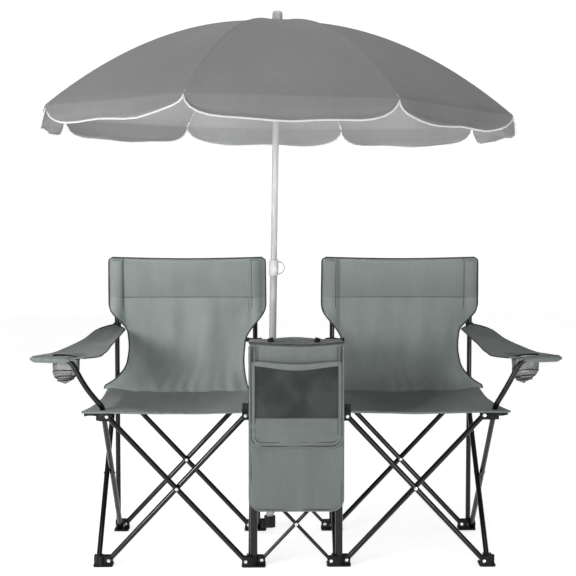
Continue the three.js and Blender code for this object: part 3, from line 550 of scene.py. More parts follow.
def lerp(start, end, share):
    return start + (end - start) * share


def share_between(start, end, value):
    """How far a value has come from start to end, held between 0 and 1."""
    return min(1, max(0, (value - start) / (end - start)))


def rising(start, end, value):
    """0 before start, 1 after end, and smooth between them."""
    share = share_between(start, end, value)
    return share * share * (3 - 2 * share)


def falling(start, end, value):
    return 1 - rising(start, end, value)


def hill(start, end, value):
    """Rises from 0 at start to 1 half way, and falls to 0 at end."""
    half = (start + end) / 2
    return rising(start, half, value) * falling(half, end, value)


def arch(share):
    """Half a wave: 0 at both ends and 1 half way."""
    return math.sin(math.pi * share)


def along(pairs, share):
    """A smooth value through pairs of a share and a value."""
    shares, values = np.array(pairs).T
    slopes = np.gradient(values, shares)
    i = int(np.clip(np.searchsorted(shares, share) - 1, 0, len(shares) - 2))
    width = shares[i + 1] - shares[i]
    t = share_between(shares[i], shares[i + 1], share)
    start = (1 + 2 * t) * (1 - t) ** 2 * values[i] + t * (1 - t) ** 2 * width * slopes[i]
    end = t * t * (3 - 2 * t) * values[i + 1] + t * t * (t - 1) * width * slopes[i + 1]
    return start + end


def even(count, start=0.0, end=1.0):
    return [lerp(start, end, i / count) for i in range(count + 1)]


def around(count):
    """Even shares of a closed round."""
    return even(count)[:-1]


def closer_at_ends(count):
    """Shares that stand closer together near 0 and 1."""
    return [0.5 - 0.5 * math.cos(math.pi * i / count) for i in range(count + 1)]


def ripple(x, y, z):
    """Smooth noise between -1 and 1."""
    return noise.noise(Vector((x, y, z)))


def grid_mesh(name, rows, closed_across, closed_up=False):
    """A mesh of quads through rows of points."""
    count, width = len(rows), len(rows[0])
    faces = []
    for r in range(count if closed_up else count - 1):
        for c in range(width if closed_across else width - 1):
            above, right = (r + 1) % count, (c + 1) % width
            faces.append((r * width + c, r * width + right, above * width + right, above * width + c))
    mesh = bpy.data.meshes.new(name)
    mesh.from_pydata([tuple(point) for row in rows for point in row], [], faces)
    return mesh


def arc_lengths(points, axis):
    """How far each point of a grid lies along its row or column."""
    steps = np.linalg.norm(np.diff(points, axis=axis), axis=2)
    first = np.zeros_like(np.take(steps, [0], axis=axis))
    return np.concatenate([first, np.cumsum(steps, axis=axis)], axis=axis)


HEM_WIDTH = 0.013


def cloth(name, surface, columns, rows, thickness, hem=0.0, wrapped=False):
    """A sheet of cloth over a surface of u and v, with its lengths kept for the weave and the stitching."""
    points = np.array([[surface(u, v) for u in columns] for v in rows], float)
    run_u = arc_lengths(points, 1)
    run_v = arc_lengths(points, 0)
    from_sides = np.minimum(run_u, run_u[:, -1:] - run_u)
    from_ends = np.minimum(run_v, run_v[-1:, :] - run_v)
    if wrapped:
        from_sides = from_sides * 0 + from_sides.max()
    edge = np.minimum(from_sides, from_ends).reshape(-1)
    run = np.where(from_sides < from_ends, run_v, run_u).reshape(-1)
    mesh = grid_mesh(name, points, closed_across=wrapped)
    weave = mesh.uv_layers.new(name=WEAVE_MAP)
    centred = run_u - run_u.mean(axis=1, keepdims=True)
    flat = np.stack([centred, run_v], axis=2).reshape(-1, 2)
    for loop in mesh.loops:
        weave.data[loop.index].uv = flat[loop.vertex_index]
    for label, values in (("edge", edge), ("run", run)):
        mesh.attributes.new(label, "FLOAT", "POINT").data.foreach_set("value", values)
    piece = place_in_scene(name, mesh)
    if hem:
        group = piece.vertex_groups.new(name="hem")
        for index, distance in enumerate(edge):
            group.add([index], 1.0 if distance < HEM_WIDTH else thickness / (thickness + hem), "REPLACE")
    reshape(piece, "SOLIDIFY", thickness=thickness + hem, offset=0, vertex_group="hem" if hem else "")
    piece.vertex_groups.clear()
    down, up = points[1:, 1:] - points[:-1, :-1], points[1:, :-1] - points[:-1, 1:]
    piece["flat_area"] = float(np.linalg.norm(np.cross(down, up), axis=2).sum() / 2)
    piece["flat_size"] = [float(run_u[:, -1].max()), float(run_v[-1, :].max())]
    return smooth(piece, 70)


def sheet_of(piece):
    """Works out how much cloth a piece was cut from, and keeps nothing of it."""
    width, length = piece["flat_size"]
    area = min(piece["flat_area"], width * length)
    max(area, 0.3 * width * length)


# How cloth follows the folding frame. A plan is a list of pulls and one slack. A pull moves cloth by how far
# two bodies part, times a weight at each point. Slack says where the spare cloth goes at a travel.
BAY_TRAVEL = 0.3108
CENTRE_TRAVEL = 0.1575


def follow(piece, plan):
    """Makes a soft piece reach from body to body as the frame folds."""
    pulls, (far, near, travel, spare) = plan
    mesh = piece.data
    places = [vertex.co.copy() for vertex in mesh.vertices]
    group = bpy.data.node_groups.new(f"{piece.name}_follow", "GeometryNodeTree")
    for way in ("INPUT", "OUTPUT"):
        group.interface.new_socket("Geometry", in_out=way, socket_type="NodeSocketGeometry")
    tree = Nodes(group)

    def vectors(operation, sockets):
        return tree.node("ShaderNodeVectorMath", {"operation": operation}, sockets)

    def stored(name, kind, part, values):
        """Keeps values on the mesh's points, for the tree to read."""
        mesh.attributes.new(name, kind, "POINT").data.foreach_set(part, values)
        return tree.node("GeometryNodeInputNamedAttribute", {"data_type": kind}, {"Name": name})

    def parted(bodies, point):
        """How far apart two bodies have taken a point."""
        ends = []
        for body in bodies:
            sockets = {"Object": frame["bodies"][body]}
            info = tree.node("GeometryNodeObjectInfo", {"transform_space": "RELATIVE"}, sockets)
            sockets = {"Vector": point, "Transform": info.output("Transform")}
            ends.append(tree.node("FunctionNodeTransformPoint", {}, sockets))
        return vectors("SUBTRACT", ends)

    start = tree.node("NodeGroupInput")
    here = moved = tree.node("GeometryNodeInputPosition")
    for number, (*bodies, weight) in enumerate(pulls):
        share = stored(f"pull_{number}", "FLOAT", "value", [weight(p) for p in places])
        moved = vectors("ADD", [moved, vectors("SCALE", {0: parted(bodies, here), "Scale": share})])
    slack = stored("slack", "FLOAT_VECTOR", "vector", [part for p in places for part in spare(p)])
    folded = vectors("LENGTH", [parted((far, near), (0, 0, 0))]).output("Value") / travel
    moved = vectors("ADD", [moved, vectors("SCALE", {0: slack, "Scale": folded})])
    end = tree.node("GeometryNodeSetPosition", {}, {"Geometry": start, "Position": moved})
    group.links.new(end.socket, group.nodes.new("NodeGroupOutput").inputs[0])
    piece.modifiers.new("follow", "NODES").node_group = group
    return piece


def post_bodies(side):
    return BODY_OF[f"post_back_outer_{side}"], BODY_OF[f"post_back_inner_{side}"]


def seat_plan(side):
    """A seat hangs from the four sliders and hubs, and its middle rises or drops between them."""
    inner_back = BODY_OF[f"slider_back_inner_{side}"]
    outer_back = BODY_OF[f"slider_back_outer_{side}"]

    def out(p):
        return share_between(COLUMN_X["inner", side], COLUMN_X["outer", side], p.x)

    def forward(p):
        return share_between(ROW_Y["back"], ROW_Y["front"], p.y)

    def spare(p):
        return 0, 0, -0.19 * hill(0.14, 0.86, out(p)) * hill(0.1, 0.86, forward(p))

    pulls = [
        (outer_back, inner_back, lambda p: out(p) * (1 - forward(p))),
        (BODY_OF[f"slider_front_inner_{side}"], inner_back, lambda p: (1 - out(p)) * forward(p)),
        (BODY_OF[f"hub_front_outer_{side}"], inner_back, lambda p: out(p) * forward(p)),
    ]
    return pulls, (outer_back, inner_back, BAY_TRAVEL, spare)


def back_plan(side):
    """A backrest closes between its posts, its foot rises with the seat, and its middle moves in pleats."""
    outer, inner = post_bodies(side)
    sleeve = SLEEVE_HALF_WIDTH * SIDES[side]

    def inwards(p):
        return share_between(COLUMN_X["outer", side] - sleeve, COLUMN_X["inner", side] + sleeve, p.x)

    def lifted(p):
        return falling(BACK_BOTTOM + 0.02, 0.66, p.z)

    def spare(p):
        share = inwards(p)
        pleats = 0.014 * arch(6 * share) * arch(share)
        belly = 0.055 * hill(0.08, 0.92, share) * (0.75 + 0.5 * hill(0.45, 0.68, p.z))
        return 0, lerp(pleats - belly, 0.03, falling(BACK_BOTTOM, 0.5, p.z)), 0

    pulls = [(inner, outer, inwards), (BODY_OF[f"slider_back_outer_{side}"], outer, lifted)]
    return pulls, (inner, outer, BAY_TRAVEL, spare)


def arm_plan(side):
    """An armrest reaches from its post to the arm tube, and hangs in a loop outside them."""
    outer, inner = post_bodies(side)
    outwards = 0.06 * SIDES[side]

    def back_share(p):
        return share_between(MIDDLE_Y - ARM_FRONT, MIDDLE_Y + ARM_REAR, p.y)

    def spare(p):
        loop = hill(0.3, 0.97, back_share(p))
        return outwards * loop, 0, -0.12 * loop

    pulls = [(BODY_OF[f"arm_tube_{side}"], outer, lambda p: falling(0.28, 0.97, back_share(p)))]
    return pulls, (inner, outer, BAY_TRAVEL, spare)


BAG_FLATTENS = 0.86
BAG_FORWARD = 0.035
BAG_FRONT_FOLD = 0.02


def bag_plan(front_fold=0.0, forward=BAG_FORWARD):
    """The bag closes between the front posts, flattens, and moves out in front of them."""
    left, right = BODY_OF["post_front_inner_left"], BODY_OF["post_front_inner_right"]

    def across(p):
        return share_between(COLUMN_X["inner", "left"], COLUMN_X["inner", "right"], p.x)

    def spare(p):
        depth = p.y - ROW_Y["front"]
        bulge = front_fold * arch(across(p)) ** 2
        return 0, -BAG_FLATTENS * max(0, depth) - forward - (bulge if depth < 0.01 else 0), 0

    return [(right, left, across)], (right, left, CENTRE_TRAVEL, spare)


def lid_plan():
    """The lid narrows and flattens with the bag, and its hinge stays on the bag's back wall."""
    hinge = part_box("bag_lid")[1].y
    pulls, slack = bag_plan()
    moves = -(BAG_FLATTENS * (hinge - ROW_Y["front"]) + BAG_FORWARD) / BAY_TRAVEL

    def spare(p):
        return 0, BAG_FLATTENS * (hinge - max(p.y, ROW_Y["front"])), 0

    pulls.append((BODY_OF["post_front_inner_left"], BODY_OF["post_back_inner_left"], lambda p: moves))
    return pulls, (*slack[:3], spare)


BAG_FRONT_PLAN = bag_plan(BAG_FRONT_FOLD)
LID_PLAN = lid_plan()


# Steel frame: scissor tubes, posts and arm tubes


def pivot(column_x, row_y, lane_x, lane_y, height=LOW_PIVOT):
    return Vector((column_x + lane_x, row_y + lane_y, height))


def scissor_tube(node, low, high, radius, rivet_axis=None, lane=0.0):
    """A tube that runs a little past its pivots. With a rivet axis, it carries the crossing's rivet."""
    past = (high - low).normalized() * TUBE_PAST_PIVOT
    parts = [coloured(tube(f"{node}_tube", low - past, high + past, radius), BLACK_STEEL)]
    if rivet_axis is not None:
        parts += rivet_pair((low + high) / 2 + rivet_axis * lane, rivet_axis, lane + radius)
    dress(join(f"{node}_round", parts), None, BODY_OF[node], [node])


def add_bay(prefix, columns, row_y, high, radius, lane):
    """A crossed pair between two columns of one row. Tube a falls to the right on the near lane."""
    left_x, right_x = sorted(columns)
    low_a = pivot(right_x, row_y, -PIVOT_OFFSET, -lane)
    high_a = pivot(left_x, row_y, PIVOT_OFFSET, -lane, high)
    scissor_tube(f"{prefix}_tube_a", low_a, high_a, radius, TO_BACK, lane)
    low_b = pivot(left_x, row_y, PIVOT_OFFSET, lane)
    high_b = pivot(right_x, row_y, -PIVOT_OFFSET, lane, high)
    scissor_tube(f"{prefix}_tube_b", low_b, high_b, radius)


def add_right_lane_tube(node, column_x):
    """The tube between the rows that falls to the back, on the right of its column."""
    low = pivot(column_x, ROW_Y["back"], LANE, -PIVOT_OFFSET)
    high = pivot(column_x, ROW_Y["front"], LANE, PIVOT_OFFSET, HIGH_PIVOT)
    scissor_tube(node, low, high, TUBE_RADIUS, TO_LEFT, LANE)


def add_left_lane_tube(node, column_x):
    """The tube that crosses it, on the left of the column."""
    low = pivot(column_x, ROW_Y["front"], -LANE, PIVOT_OFFSET)
    high = pivot(column_x, ROW_Y["back"], -LANE, -PIVOT_OFFSET, HIGH_PIVOT)
    scissor_tube(node, low, high, TUBE_RADIUS)


def add_scissors():
    for row, y in ROW_Y.items():
        for side in SIDES:
            columns = [COLUMN_X["outer", side], COLUMN_X["inner", side]]
            add_bay(f"{row}_{side}", columns, y, HIGH_PIVOT, TUBE_RADIUS, LANE)
        columns = [COLUMN_X["inner", side] for side in SIDES]
        add_bay(f"{row}_centre", columns, y, CENTRE_PIVOT, CENTRE_TUBE_RADIUS, CENTRE_LANE)
    for side in SIDES:
        add_right_lane_tube(f"inner_{side}_tube_a", COLUMN_X["inner", side])
        add_left_lane_tube(f"inner_{side}_tube_b", COLUMN_X["inner", side])
        add_left_lane_tube(f"outer_{side}_tube", COLUMN_X["outer", side])


def add_posts():
    for node in [name for name in frame["nodes"] if name.startswith("post_")]:
        low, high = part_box(node)
        radius = FRONT_POST_RADIUS if "front" in node else BACK_POST_RADIUS
        x, y = middle(node).xy
        post = tube(f"{node}_round", Vector((x, y, low.z)), Vector((x, y, high.z)), radius)
        bpy.ops.mesh.primitive_cylinder_add(
            vertices=28, radius=radius * 0.98, depth=PLUG_HEIGHT, location=(x, y, high.z - PLUG_HEIGHT / 3)
        )
        plug = bpy.context.object
        with editing(plug, facing_up):
            bpy.ops.mesh.bevel(offset=0.0015, segments=3, affect="EDGES")
        smooth(coloured(settle(plug, "plug"), BLACK_PLASTIC))
        whole = join(f"{node}_round", [coloured(post, BLACK_STEEL), plug])
        dress(whole, None, BODY_OF[node], [node])


# Arm tubes, given as the way out, forward and up from the outer hub's pivot
ARM_STRAIGHT = 0.022
ARM_SWEEP = 0.030
ARM_SHOULDER = (0.020, 0.046, 0.050)
ARM_ELBOW = (0.056, 0.056, 0.126)
HEM_TUBE_START = (0.084, 0.062, 0.160)
HEM_TUBE_LENGTH = 0.090
HEM_TUBE_RISE = 0.003


def from_hub(side, out, forward, height):
    x = COLUMN_X["outer", side] + SIDES[side] * out
    return Vector((x, ROW_Y["front"] + PIVOT_OFFSET - forward, HIGH_PIVOT + height))


def hem_end(side, out):
    start_out, forward, height = HEM_TUBE_START
    return from_hub(side, start_out + out, forward, height + HEM_TUBE_RISE * out / HEM_TUBE_LENGTH)


def bezier(points, share):
    """A point on the curve that the control points pull."""
    while len(points) > 1:
        points = [start.lerp(end, share) for start, end in zip(points, points[1:])]
    return points[0]


def arm_path(side):
    x = COLUMN_X["outer", side] + LANE
    foot = Vector((x, ROW_Y["back"] - PIVOT_OFFSET, LOW_PIVOT))
    hub = Vector((x, ROW_Y["front"] + PIVOT_OFFSET, HIGH_PIVOT))
    way = (hub - foot).normalized()
    bend = hub + way * ARM_STRAIGHT
    shoulder = from_hub(side, *ARM_SHOULDER)
    elbow = from_hub(side, *ARM_ELBOW)
    corner = shoulder.lerp(elbow, (HEM_TUBE_START[2] - ARM_SHOULDER[2]) / (ARM_ELBOW[2] - ARM_SHOULDER[2]))
    rise = [bend, bend + way * ARM_SWEEP, shoulder, elbow]
    turn = [elbow, corner, hem_end(side, 0)]
    path = [foot - way * TUBE_PAST_PIVOT]
    path += [bezier(rise, share) for share in even(16)]
    path += [bezier(turn, share) for share in even(12)[1:]]
    return path + [hem_end(side, HEM_TUBE_LENGTH)]


def add_arm_tubes():
    for side in SIDES:
        node = f"arm_tube_{side}"
        bent = coloured(bent_tube(f"{node}_round", arm_path(side), TUBE_RADIUS, 8), BLACK_STEEL)
        crossing = Vector((COLUMN_X["outer", side], MIDDLE_Y, (LOW_PIVOT + HIGH_PIVOT) / 2))
        whole = join(f"{node}_round", [bent, *rivet_pair(crossing, TO_LEFT, LANE + TUBE_RADIUS)])
        dress(whole, None, BODY_OF[node], [node])


# Mouldings, each with the heads of its rivets


def moulding_rivets(node):
    """Every rivet head of a foot, hub or slider, from its place in the frame."""
    row = "front" if "_front" in node else "back"
    side = "left" if node.endswith("left") else "right"
    place = "outer" if "outer" in node else "inner"
    x, y = COLUMN_X[place, side], ROW_Y[row]
    bay = -SIDES[side] if place == "outer" else SIDES[side]
    if node.startswith("middle"):
        spot = pivot(x, y, -bay * PIVOT_OFFSET, bay * CENTRE_LANE, CENTRE_PIVOT)
        return rivet_pair(spot, TO_BACK, CENTRE_LANE + CENTRE_CHEEK)
    low = node.startswith("foot")
    height = LOW_PIVOT if low else HIGH_PIVOT
    lane_x = LANE if (row == "front") != low else -LANE
    lane_y = LANE * (bay if low else -bay)
    inwards = PIVOT_OFFSET if row == "front" else -PIVOT_OFFSET
    heads = rivet_pair(pivot(x, y, bay * PIVOT_OFFSET, lane_y, height), TO_BACK, LANE + CHEEK)
    heads += rivet_pair(pivot(x, y, lane_x, inwards, height), TO_RIGHT, LANE + CHEEK)
    if low and place == "inner":
        spot = pivot(x, y, -bay * PIVOT_OFFSET, -bay * CENTRE_LANE)
        heads += rivet_pair(spot, TO_BACK, CENTRE_LANE + CENTRE_CHEEK)
    return heads


def add_mouldings():
    for node in frame["nodes"]:
        if node.startswith(("foot_", "slider_", "hub_", "middle_slider_")):
            body = moulded_copy(node)
            body.data.materials.clear()
            whole = join(f"{node}_moulding", [coloured(body, BLACK_PLASTIC), *moulding_rivets(node)])
            dress(whole, None, BODY_OF[node], [node])


# Backrests. Each edge is a list of heights, with the reach from the middle between the posts.
BACK_OUTER_EDGE = (
    (0.434, 0.2480), (0.449, 0.2440), (0.4775, 0.2108), (0.5045, 0.1877), (0.5436, 0.1762), (0.6, 0.1764),
    (0.6235, 0.1815), (0.643, 0.1965), (0.6625, 0.2149), (0.6795, 0.2300), (0.695, 0.2358), (0.72, 0.2366),
    (0.80, 0.2366), (0.846, 0.2364),
)
BACK_INNER_EDGE = (
    (0.434, 0.1960), (0.449, 0.1900), (0.4775, 0.1830), (0.5045, 0.1790), (0.564, 0.1796), (0.6, 0.1857),
    (0.6235, 0.1992), (0.643, 0.2145), (0.6605, 0.2290), (0.6795, 0.2410), (0.695, 0.2446), (0.72, 0.2450),
    (0.80, 0.2442), (0.846, 0.2436),
)
BACK_BOTTOM = SEAT_TOP - 0.0046
BACK_CORNER_LIFT = 0.0105
BACK_HEM = BACK_TOP + 0.009
BACK_HEM_STITCH = 0.832
BACK_CORNER = 0.012
BACK_BOTTOM_IN = 0.0465
BACK_BOW = 0.014
BACK_UPRIGHT_HEIGHT = 0.684
BACK_LAP = 0.0021
BACK_FOLD_SEEDS = {"left": 3.1, "right": 8.4}
SLEEVE_BOTTOM = 0.679
SLEEVE_HALF_WIDTH = 0.0205
SLEEVE_DEPTH = 0.0115
SLEEVE_BACK_DEPTH = 0.0105
SLEEVE_COLUMN = 0.104
SLEEVE_SEAM_SHADE_LINES = (0.0885, 0.9115)
SLEEVES_TO_PANEL = 1.08
TOP_DIP = 0.0045


def back_edges(side, z):
    """Where the two side edges of a backrest are at a height, with rounded upper corners."""
    rise = z - (BACK_HEM - BACK_CORNER)
    cut = BACK_CORNER - math.sqrt(max(0, BACK_CORNER**2 - max(0, rise) ** 2))
    centre = (COLUMN_X["outer", side] + COLUMN_X["inner", side]) / 2
    outer = centre + SIDES[side] * (along(BACK_OUTER_EDGE, z) - cut)
    return outer, centre - SIDES[side] * (along(BACK_INNER_EDGE, z) - cut)


def post_bulge(side, x):
    """How far cloth over a post stands out in front of it, from 0 to 1."""
    reach = min(abs(x - COLUMN_X["outer", side]), abs(x - COLUMN_X["inner", side])) / SLEEVE_HALF_WIDTH
    return math.sqrt(max(0, 1 - reach * reach))


def back_depth(u, z):
    """The line that a backrest hangs in: upright between the posts, and forward to the seat below."""
    share = (z - BACK_BOTTOM) / (BACK_TOP - BACK_BOTTOM)
    rise = min(1, (z - BACK_BOTTOM) / (BACK_UPRIGHT_HEIGHT - BACK_BOTTOM))
    lean = math.sin(math.pi / 2 * rise)
    return ROW_Y["back"] - BACK_BOTTOM_IN * (1 - lean) + BACK_BOW * arch(u) * arch(min(1, share))


def back_folds(side, u, z):
    """The soft folds of cloth that hangs between two posts: broad ones below the seam, slack ones above."""
    seed = BACK_FOLD_SEEDS[side]
    lower = rising(0.45, 0.5, z) * falling(0.70, BACK_SEAM, z)
    upper = rising(BACK_SEAM, 0.745, z) * falling(0.81, 0.84, z)
    upright = ripple(u * 5.2, z * 1.6, seed)
    slanted = ripple(u * 4.4 + z * 6, z * 9 - u * 3, seed + 5)
    gathered = ripple(u * 17, z * 5, seed + 9) * falling(0.44, 0.53, z)
    deep = lower * (0.0095 * upright + 0.004 * slanted) + 0.007 * gathered + upper * 0.010 * slanted
    return max(0, arch(u)) ** 0.5 * deep


def wing_crease(edge, z):
    """The cloth rolls forward along the cut-out sides below the sleeves."""
    return -0.004 * rising(0.47, 0.52, z) * falling(0.655, 0.70, z) * math.exp(-((edge / 0.016) ** 2))


def back_surface(side):
    """The front of a backrest. u runs from the outer edge to the inner one, v from the foot to the top."""

    def front(u, v):
        z = lerp(BACK_BOTTOM, BACK_HEM, v)
        outer, inner = back_edges(side, z)
        x = lerp(outer, inner, u)
        y = back_depth(u, z) + back_folds(side, u, z) + wing_crease(min(u, 1 - u) * abs(outer - inner), z)
        bulge = post_bulge(side, x) * rising(0.60, 0.665, z)
        y -= SLEEVE_DEPTH * bulge * (1 - 0.5 * rising(BACK_HEM_STITCH, BACK_HEM, z))
        between_sleeves = rising(0.062, 0.07, u) * falling(0.93, 0.938, u)
        y -= BACK_LAP * between_sleeves * rising(BACK_SEAM - 0.0012, BACK_SEAM + 0.0012, z)
        lift = BACK_CORNER_LIFT * falling(0.0, 0.16, u) * falling(0, 0.08, v)
        return Vector((x, y, z + lift - TOP_DIP * arch(u) * rising(0.80, BACK_HEM, z)))

    return front


def sleeve_surface(side, place):
    """The back of a post sleeve. u runs from the backrest's edge inwards."""
    inwards = -SIDES[side] if place == "outer" else SIDES[side]
    seam_x = COLUMN_X[place, side] + inwards * SLEEVE_HALF_WIDTH

    def behind(u, v):
        z = lerp(SLEEVE_BOTTOM, BACK_HEM, v)
        outer, inner = back_edges(side, z)
        round_out = math.sqrt(max(0, 1 - (2 * u - 1) ** 2))
        pinch = 1 - rising(BACK_HEM_STITCH, BACK_HEM, z) * 0.75
        x = lerp(outer if place == "outer" else inner, seam_x, u)
        return Vector((x, ROW_Y["back"] + SLEEVE_BACK_DEPTH * round_out * pinch, z))

    return behind


def add_backrests():
    columns = [lerp(0, SLEEVE_COLUMN, s) for s in closer_at_ends(12)]
    columns += even(76, SLEEVE_COLUMN, 1 - SLEEVE_COLUMN)[1:-1]
    columns += [lerp(1 - SLEEVE_COLUMN, 1, s) for s in closer_at_ends(12)]
    heights = [*even(56, BACK_BOTTOM, 0.712), *even(8, 0.7165, 0.7265), *even(26, 0.731, 0.83)]
    heights += even(8, 0.833, BACK_HEM)
    rows = [(z - BACK_BOTTOM) / (BACK_HEM - BACK_BOTTOM) for z in heights]
    for side in SIDES:
        node = f"backrest_{side}"
        front = back_surface(side)
        parts = [cloth(f"{node}_panel", front, columns, rows, 0.0011, 0.0009)]
        for place in ("outer", "inner"):
            parts.append(cloth(f"sleeve_{place}", sleeve_surface(side, place), even(14), even(30), 0.0011))
        whole = join(f"{node}_cloth", parts)
        whole["flat_area"] *= SLEEVES_TO_PANEL
        dress(whole, CHAIR_CLOTH, BODY_OF[node], [node])
        sheet_of(whole)
        follow(whole, back_plan(side))
        add_back_binding(side, front)


def add_back_binding(side, front):
    """The tape folded round the edges of a backrest, the welt of its lap seam, and welts down the sleeves'
    seams, whose dark colour is partly the tape's own and partly painted shade of the crease beside each
    sleeve.
    """
    rim = [front(0, v) for v in even(60, 0.004, 1)] + [front(u, 1) for u in even(60)[1:-1]]
    rim += [front(1, v) for v in even(60, 1, 0.004)]
    parts = [bent_tube("tape", rim, 0.0024, 3)]
    # Dark welts down the sleeves' seams: a real seam, darkened as painted shade of the crease there.
    for u in SLEEVE_SEAM_SHADE_LINES:
        parts.append(bent_tube("sleeve_seam", [front(u, v) for v in even(30, 0.62, 0.995)], 0.0011, 2))
    seam_share = (BACK_SEAM - BACK_BOTTOM) / (BACK_HEM - BACK_BOTTOM)
    lap = [front(u, seam_share) + Vector((0, -0.0004, 0)) for u in even(60, 0.075, 0.925)]
    parts.append(bent_tube("welt", lap, 0.0009, 2))
    body = BODY_OF[f"backrest_{side}"]
    follow(dress(join(f"backrest_{side}_binding", parts), BINDING, body), back_plan(side))


# Seats. Depths are from the frame's middle, reaches from the chair's middle line.
SEAT_FRONT = 0.237
SEAT_BACK = 0.172
SEAT_TIP = 0.590
SEAT_HIP = 0.566
SEAT_INNER = 0.134
SEAT_SAG = 0.030
SEAT_FRONT_SAG = 0.003
SEAT_BELOW_TOP = 0.0022
SEAT_NOTCH_END = 0.062 - SEAT_FRONT
SEAT_LIP = 0.0045
SEAT_CORNER_LIFT = 0.010


def seat_surface(side):
    """The top of a seat. u runs inwards, v from the front to the back, with the front lip below 0."""
    sign = SIDES[side]
    outer_hub = abs(COLUMN_X["outer", side] - MIDDLE_X) - LUG_REACH
    inner_hub = abs(COLUMN_X["inner", side] - MIDDLE_X) + LUG_REACH

    def top(u, v):
        back = max(0, v)
        depth = lerp(-SEAT_FRONT, SEAT_BACK, back)
        notched = inner_hub if depth < SEAT_NOTCH_END else SEAT_INNER
        inner = lerp(notched, SEAT_INNER, rising(SEAT_NOTCH_END - 0.008, SEAT_NOTCH_END, depth))
        out = lerp(lerp(SEAT_HIP, SEAT_TIP, (1 - back) ** 4), inner, u)
        between_hubs = arch(share_between(outer_hub, inner_hub, out))
        sag = SEAT_SAG * arch(back) + SEAT_FRONT_SAG * (1 - back)
        creases = ripple(u * 7 + v * 2, v * 4.5, 2.2 * sign) * (0.3 + 0.7 * back)
        drawn = ripple(u * 19, v * 2.5, 6.1 + sign) * rising(0.72, 0.97, v)
        lip = SEAT_LIP * min(1, -v) if v < 0 else 0
        lift = SEAT_CORNER_LIFT * falling(0, 0.2, u) * rising(0.6, 1, v)
        z = SEAT_TOP - SEAT_BELOW_TOP + between_hubs * (0.006 * creases + 0.003 * drawn - sag) - lip + lift
        return Vector((MIDDLE_X + sign * out, MIDDLE_Y + depth - (0.0006 if v < 0 else 0), z))

    return top


def add_seats():
    rows = [-1, -0.6, -0.2, 0, 0.01, *even(46, 0.025, 1)]
    for side in SIDES:
        node = f"seat_{side}"
        seat = cloth(f"{node}_cloth", seat_surface(side), even(76), rows, 0.0012, 0.0012)
        dress(seat, SEAT_CLOTH, BODY_OF[node], [node])
        sheet_of(seat)
        follow(seat, seat_plan(side))


# Armrests. Edges are shares of the way out from the post at the front, listed by their share of the depth.
ARM_OUTER_HEIGHTS = (
    (0, 0.5900), (0.05, 0.5895), (0.15, 0.5876), (0.26, 0.5866), (0.42, 0.597), (0.6, 0.6105), (0.78, 0.631),
    (0.9, 0.637), (1, 0.639),
)
ARM_INNER_HEIGHTS = ((0, 0.5845), (0.06, 0.5855), (0.2, 0.5915), (0.4, 0.6015), (0.65, 0.6105), (1, 0.6225))
ARM_FRONT = 0.248
ARM_REAR = 0.203
ARM_REACH = 0.184
ARM_OUTER_SHARES = (
    (0, 0.96), (0.05, 0.90), (0.14, 0.86), (0.26, 0.76), (0.42, 0.579), (0.6, 0.408), (0.78, 0.259),
    (0.9, 0.131), (1, 0.011),
)
ARM_INNER_SHARES = ((0, 0.21), (0.06, 0.03), (0.18, -0.05), (0.4, -0.085), (0.7, -0.115), (1, -0.14))
ARM_LOOP_RADIUS = 0.0105
ARM_LOOP_HEIGHT = 0.6365
CUP_OUT = 0.095
CUP_FRONT = 0.186
CUP_RADIUS = 0.0375
CUP_WALL_DEPTH = 0.06438
CUP_RIM_HEIGHT = 0.5827
CUP_TIP = 0.124

# The elastic of a cup net: its place from the rim down, how far it slants, and its radius
CUP_BANDS = (
    (0.5, 0.28, 0.0008), (0.7, 0.16, 0.0013), (0.8, -0.15, 0.0014), (0.9, 0.09, 0.0018), (1.0, -0.03, 0.0015),
)


def cup_centre(side):
    return Vector((COLUMN_X["outer", side] + SIDES[side] * CUP_OUT, MIDDLE_Y - CUP_FRONT, CUP_RIM_HEIGHT))


def arm_surface(side):
    """The top of an armrest, level round its cup hole. u runs inwards, v to the back."""
    sign = SIDES[side]
    cup = cup_centre(side)

    def surface(u, v):
        reach = lerp(along(ARM_OUTER_SHARES, v), along(ARM_INNER_SHARES, v), u)
        x = COLUMN_X["outer", side] + sign * ARM_REACH * reach
        y = MIDDLE_Y + lerp(-ARM_FRONT, ARM_REAR, v)
        z = lerp(along(ARM_OUTER_HEIGHTS, v), along(ARM_INNER_HEIGHTS, v), u)
        z += 0.0035 * ripple(u * 2.2 + v * 3, v * 5, sign * 3.7) * arch(u) - 0.006 * arch(u) * arch(v)
        level = falling(CUP_RADIUS + 0.002, CUP_RADIUS + 0.024, math.hypot(x - cup.x, y - cup.y))
        return Vector((x, y, lerp(z, CUP_RIM_HEIGHT + CUP_TIP * sign * (x - cup.x), level)))

    return surface


def add_armrests():
    for side in SIDES:
        node = f"armrest_{side}"
        surface = arm_surface(side)
        sheet = cloth(f"{node}_sheet", surface, even(30), even(80), 0.0012, 0.001)
        cut_cup_hole(sheet, side)
        whole = join(f"{node}_cloth", [sheet, hem_sleeve(side)])
        dress(whole, ARM_CLOTH, BODY_OF[node], [node])
        follow(whole, arm_plan(side))
        edges = [bent_tube("tape", [surface(u, v) for v in even(60)], 0.0018, 3) for u in (0, 1)]
        binding = dress(join(f"{node}_binding", edges), BINDING, BODY_OF[node])
        follow(binding, arm_plan(side))
        add_cup_net(side)
        add_arm_loop(side, surface)


def cut_cup_hole(sheet, side):
    """Takes a round hole out of an armrest for its cup net."""
    bpy.ops.mesh.primitive_cylinder_add(vertices=48, radius=CUP_RADIUS, depth=0.06, location=cup_centre(side))
    cutter = bpy.context.object
    reshape(sheet, "BOOLEAN", operation="DIFFERENCE", object=cutter, solver="EXACT")
    bpy.data.objects.remove(cutter)


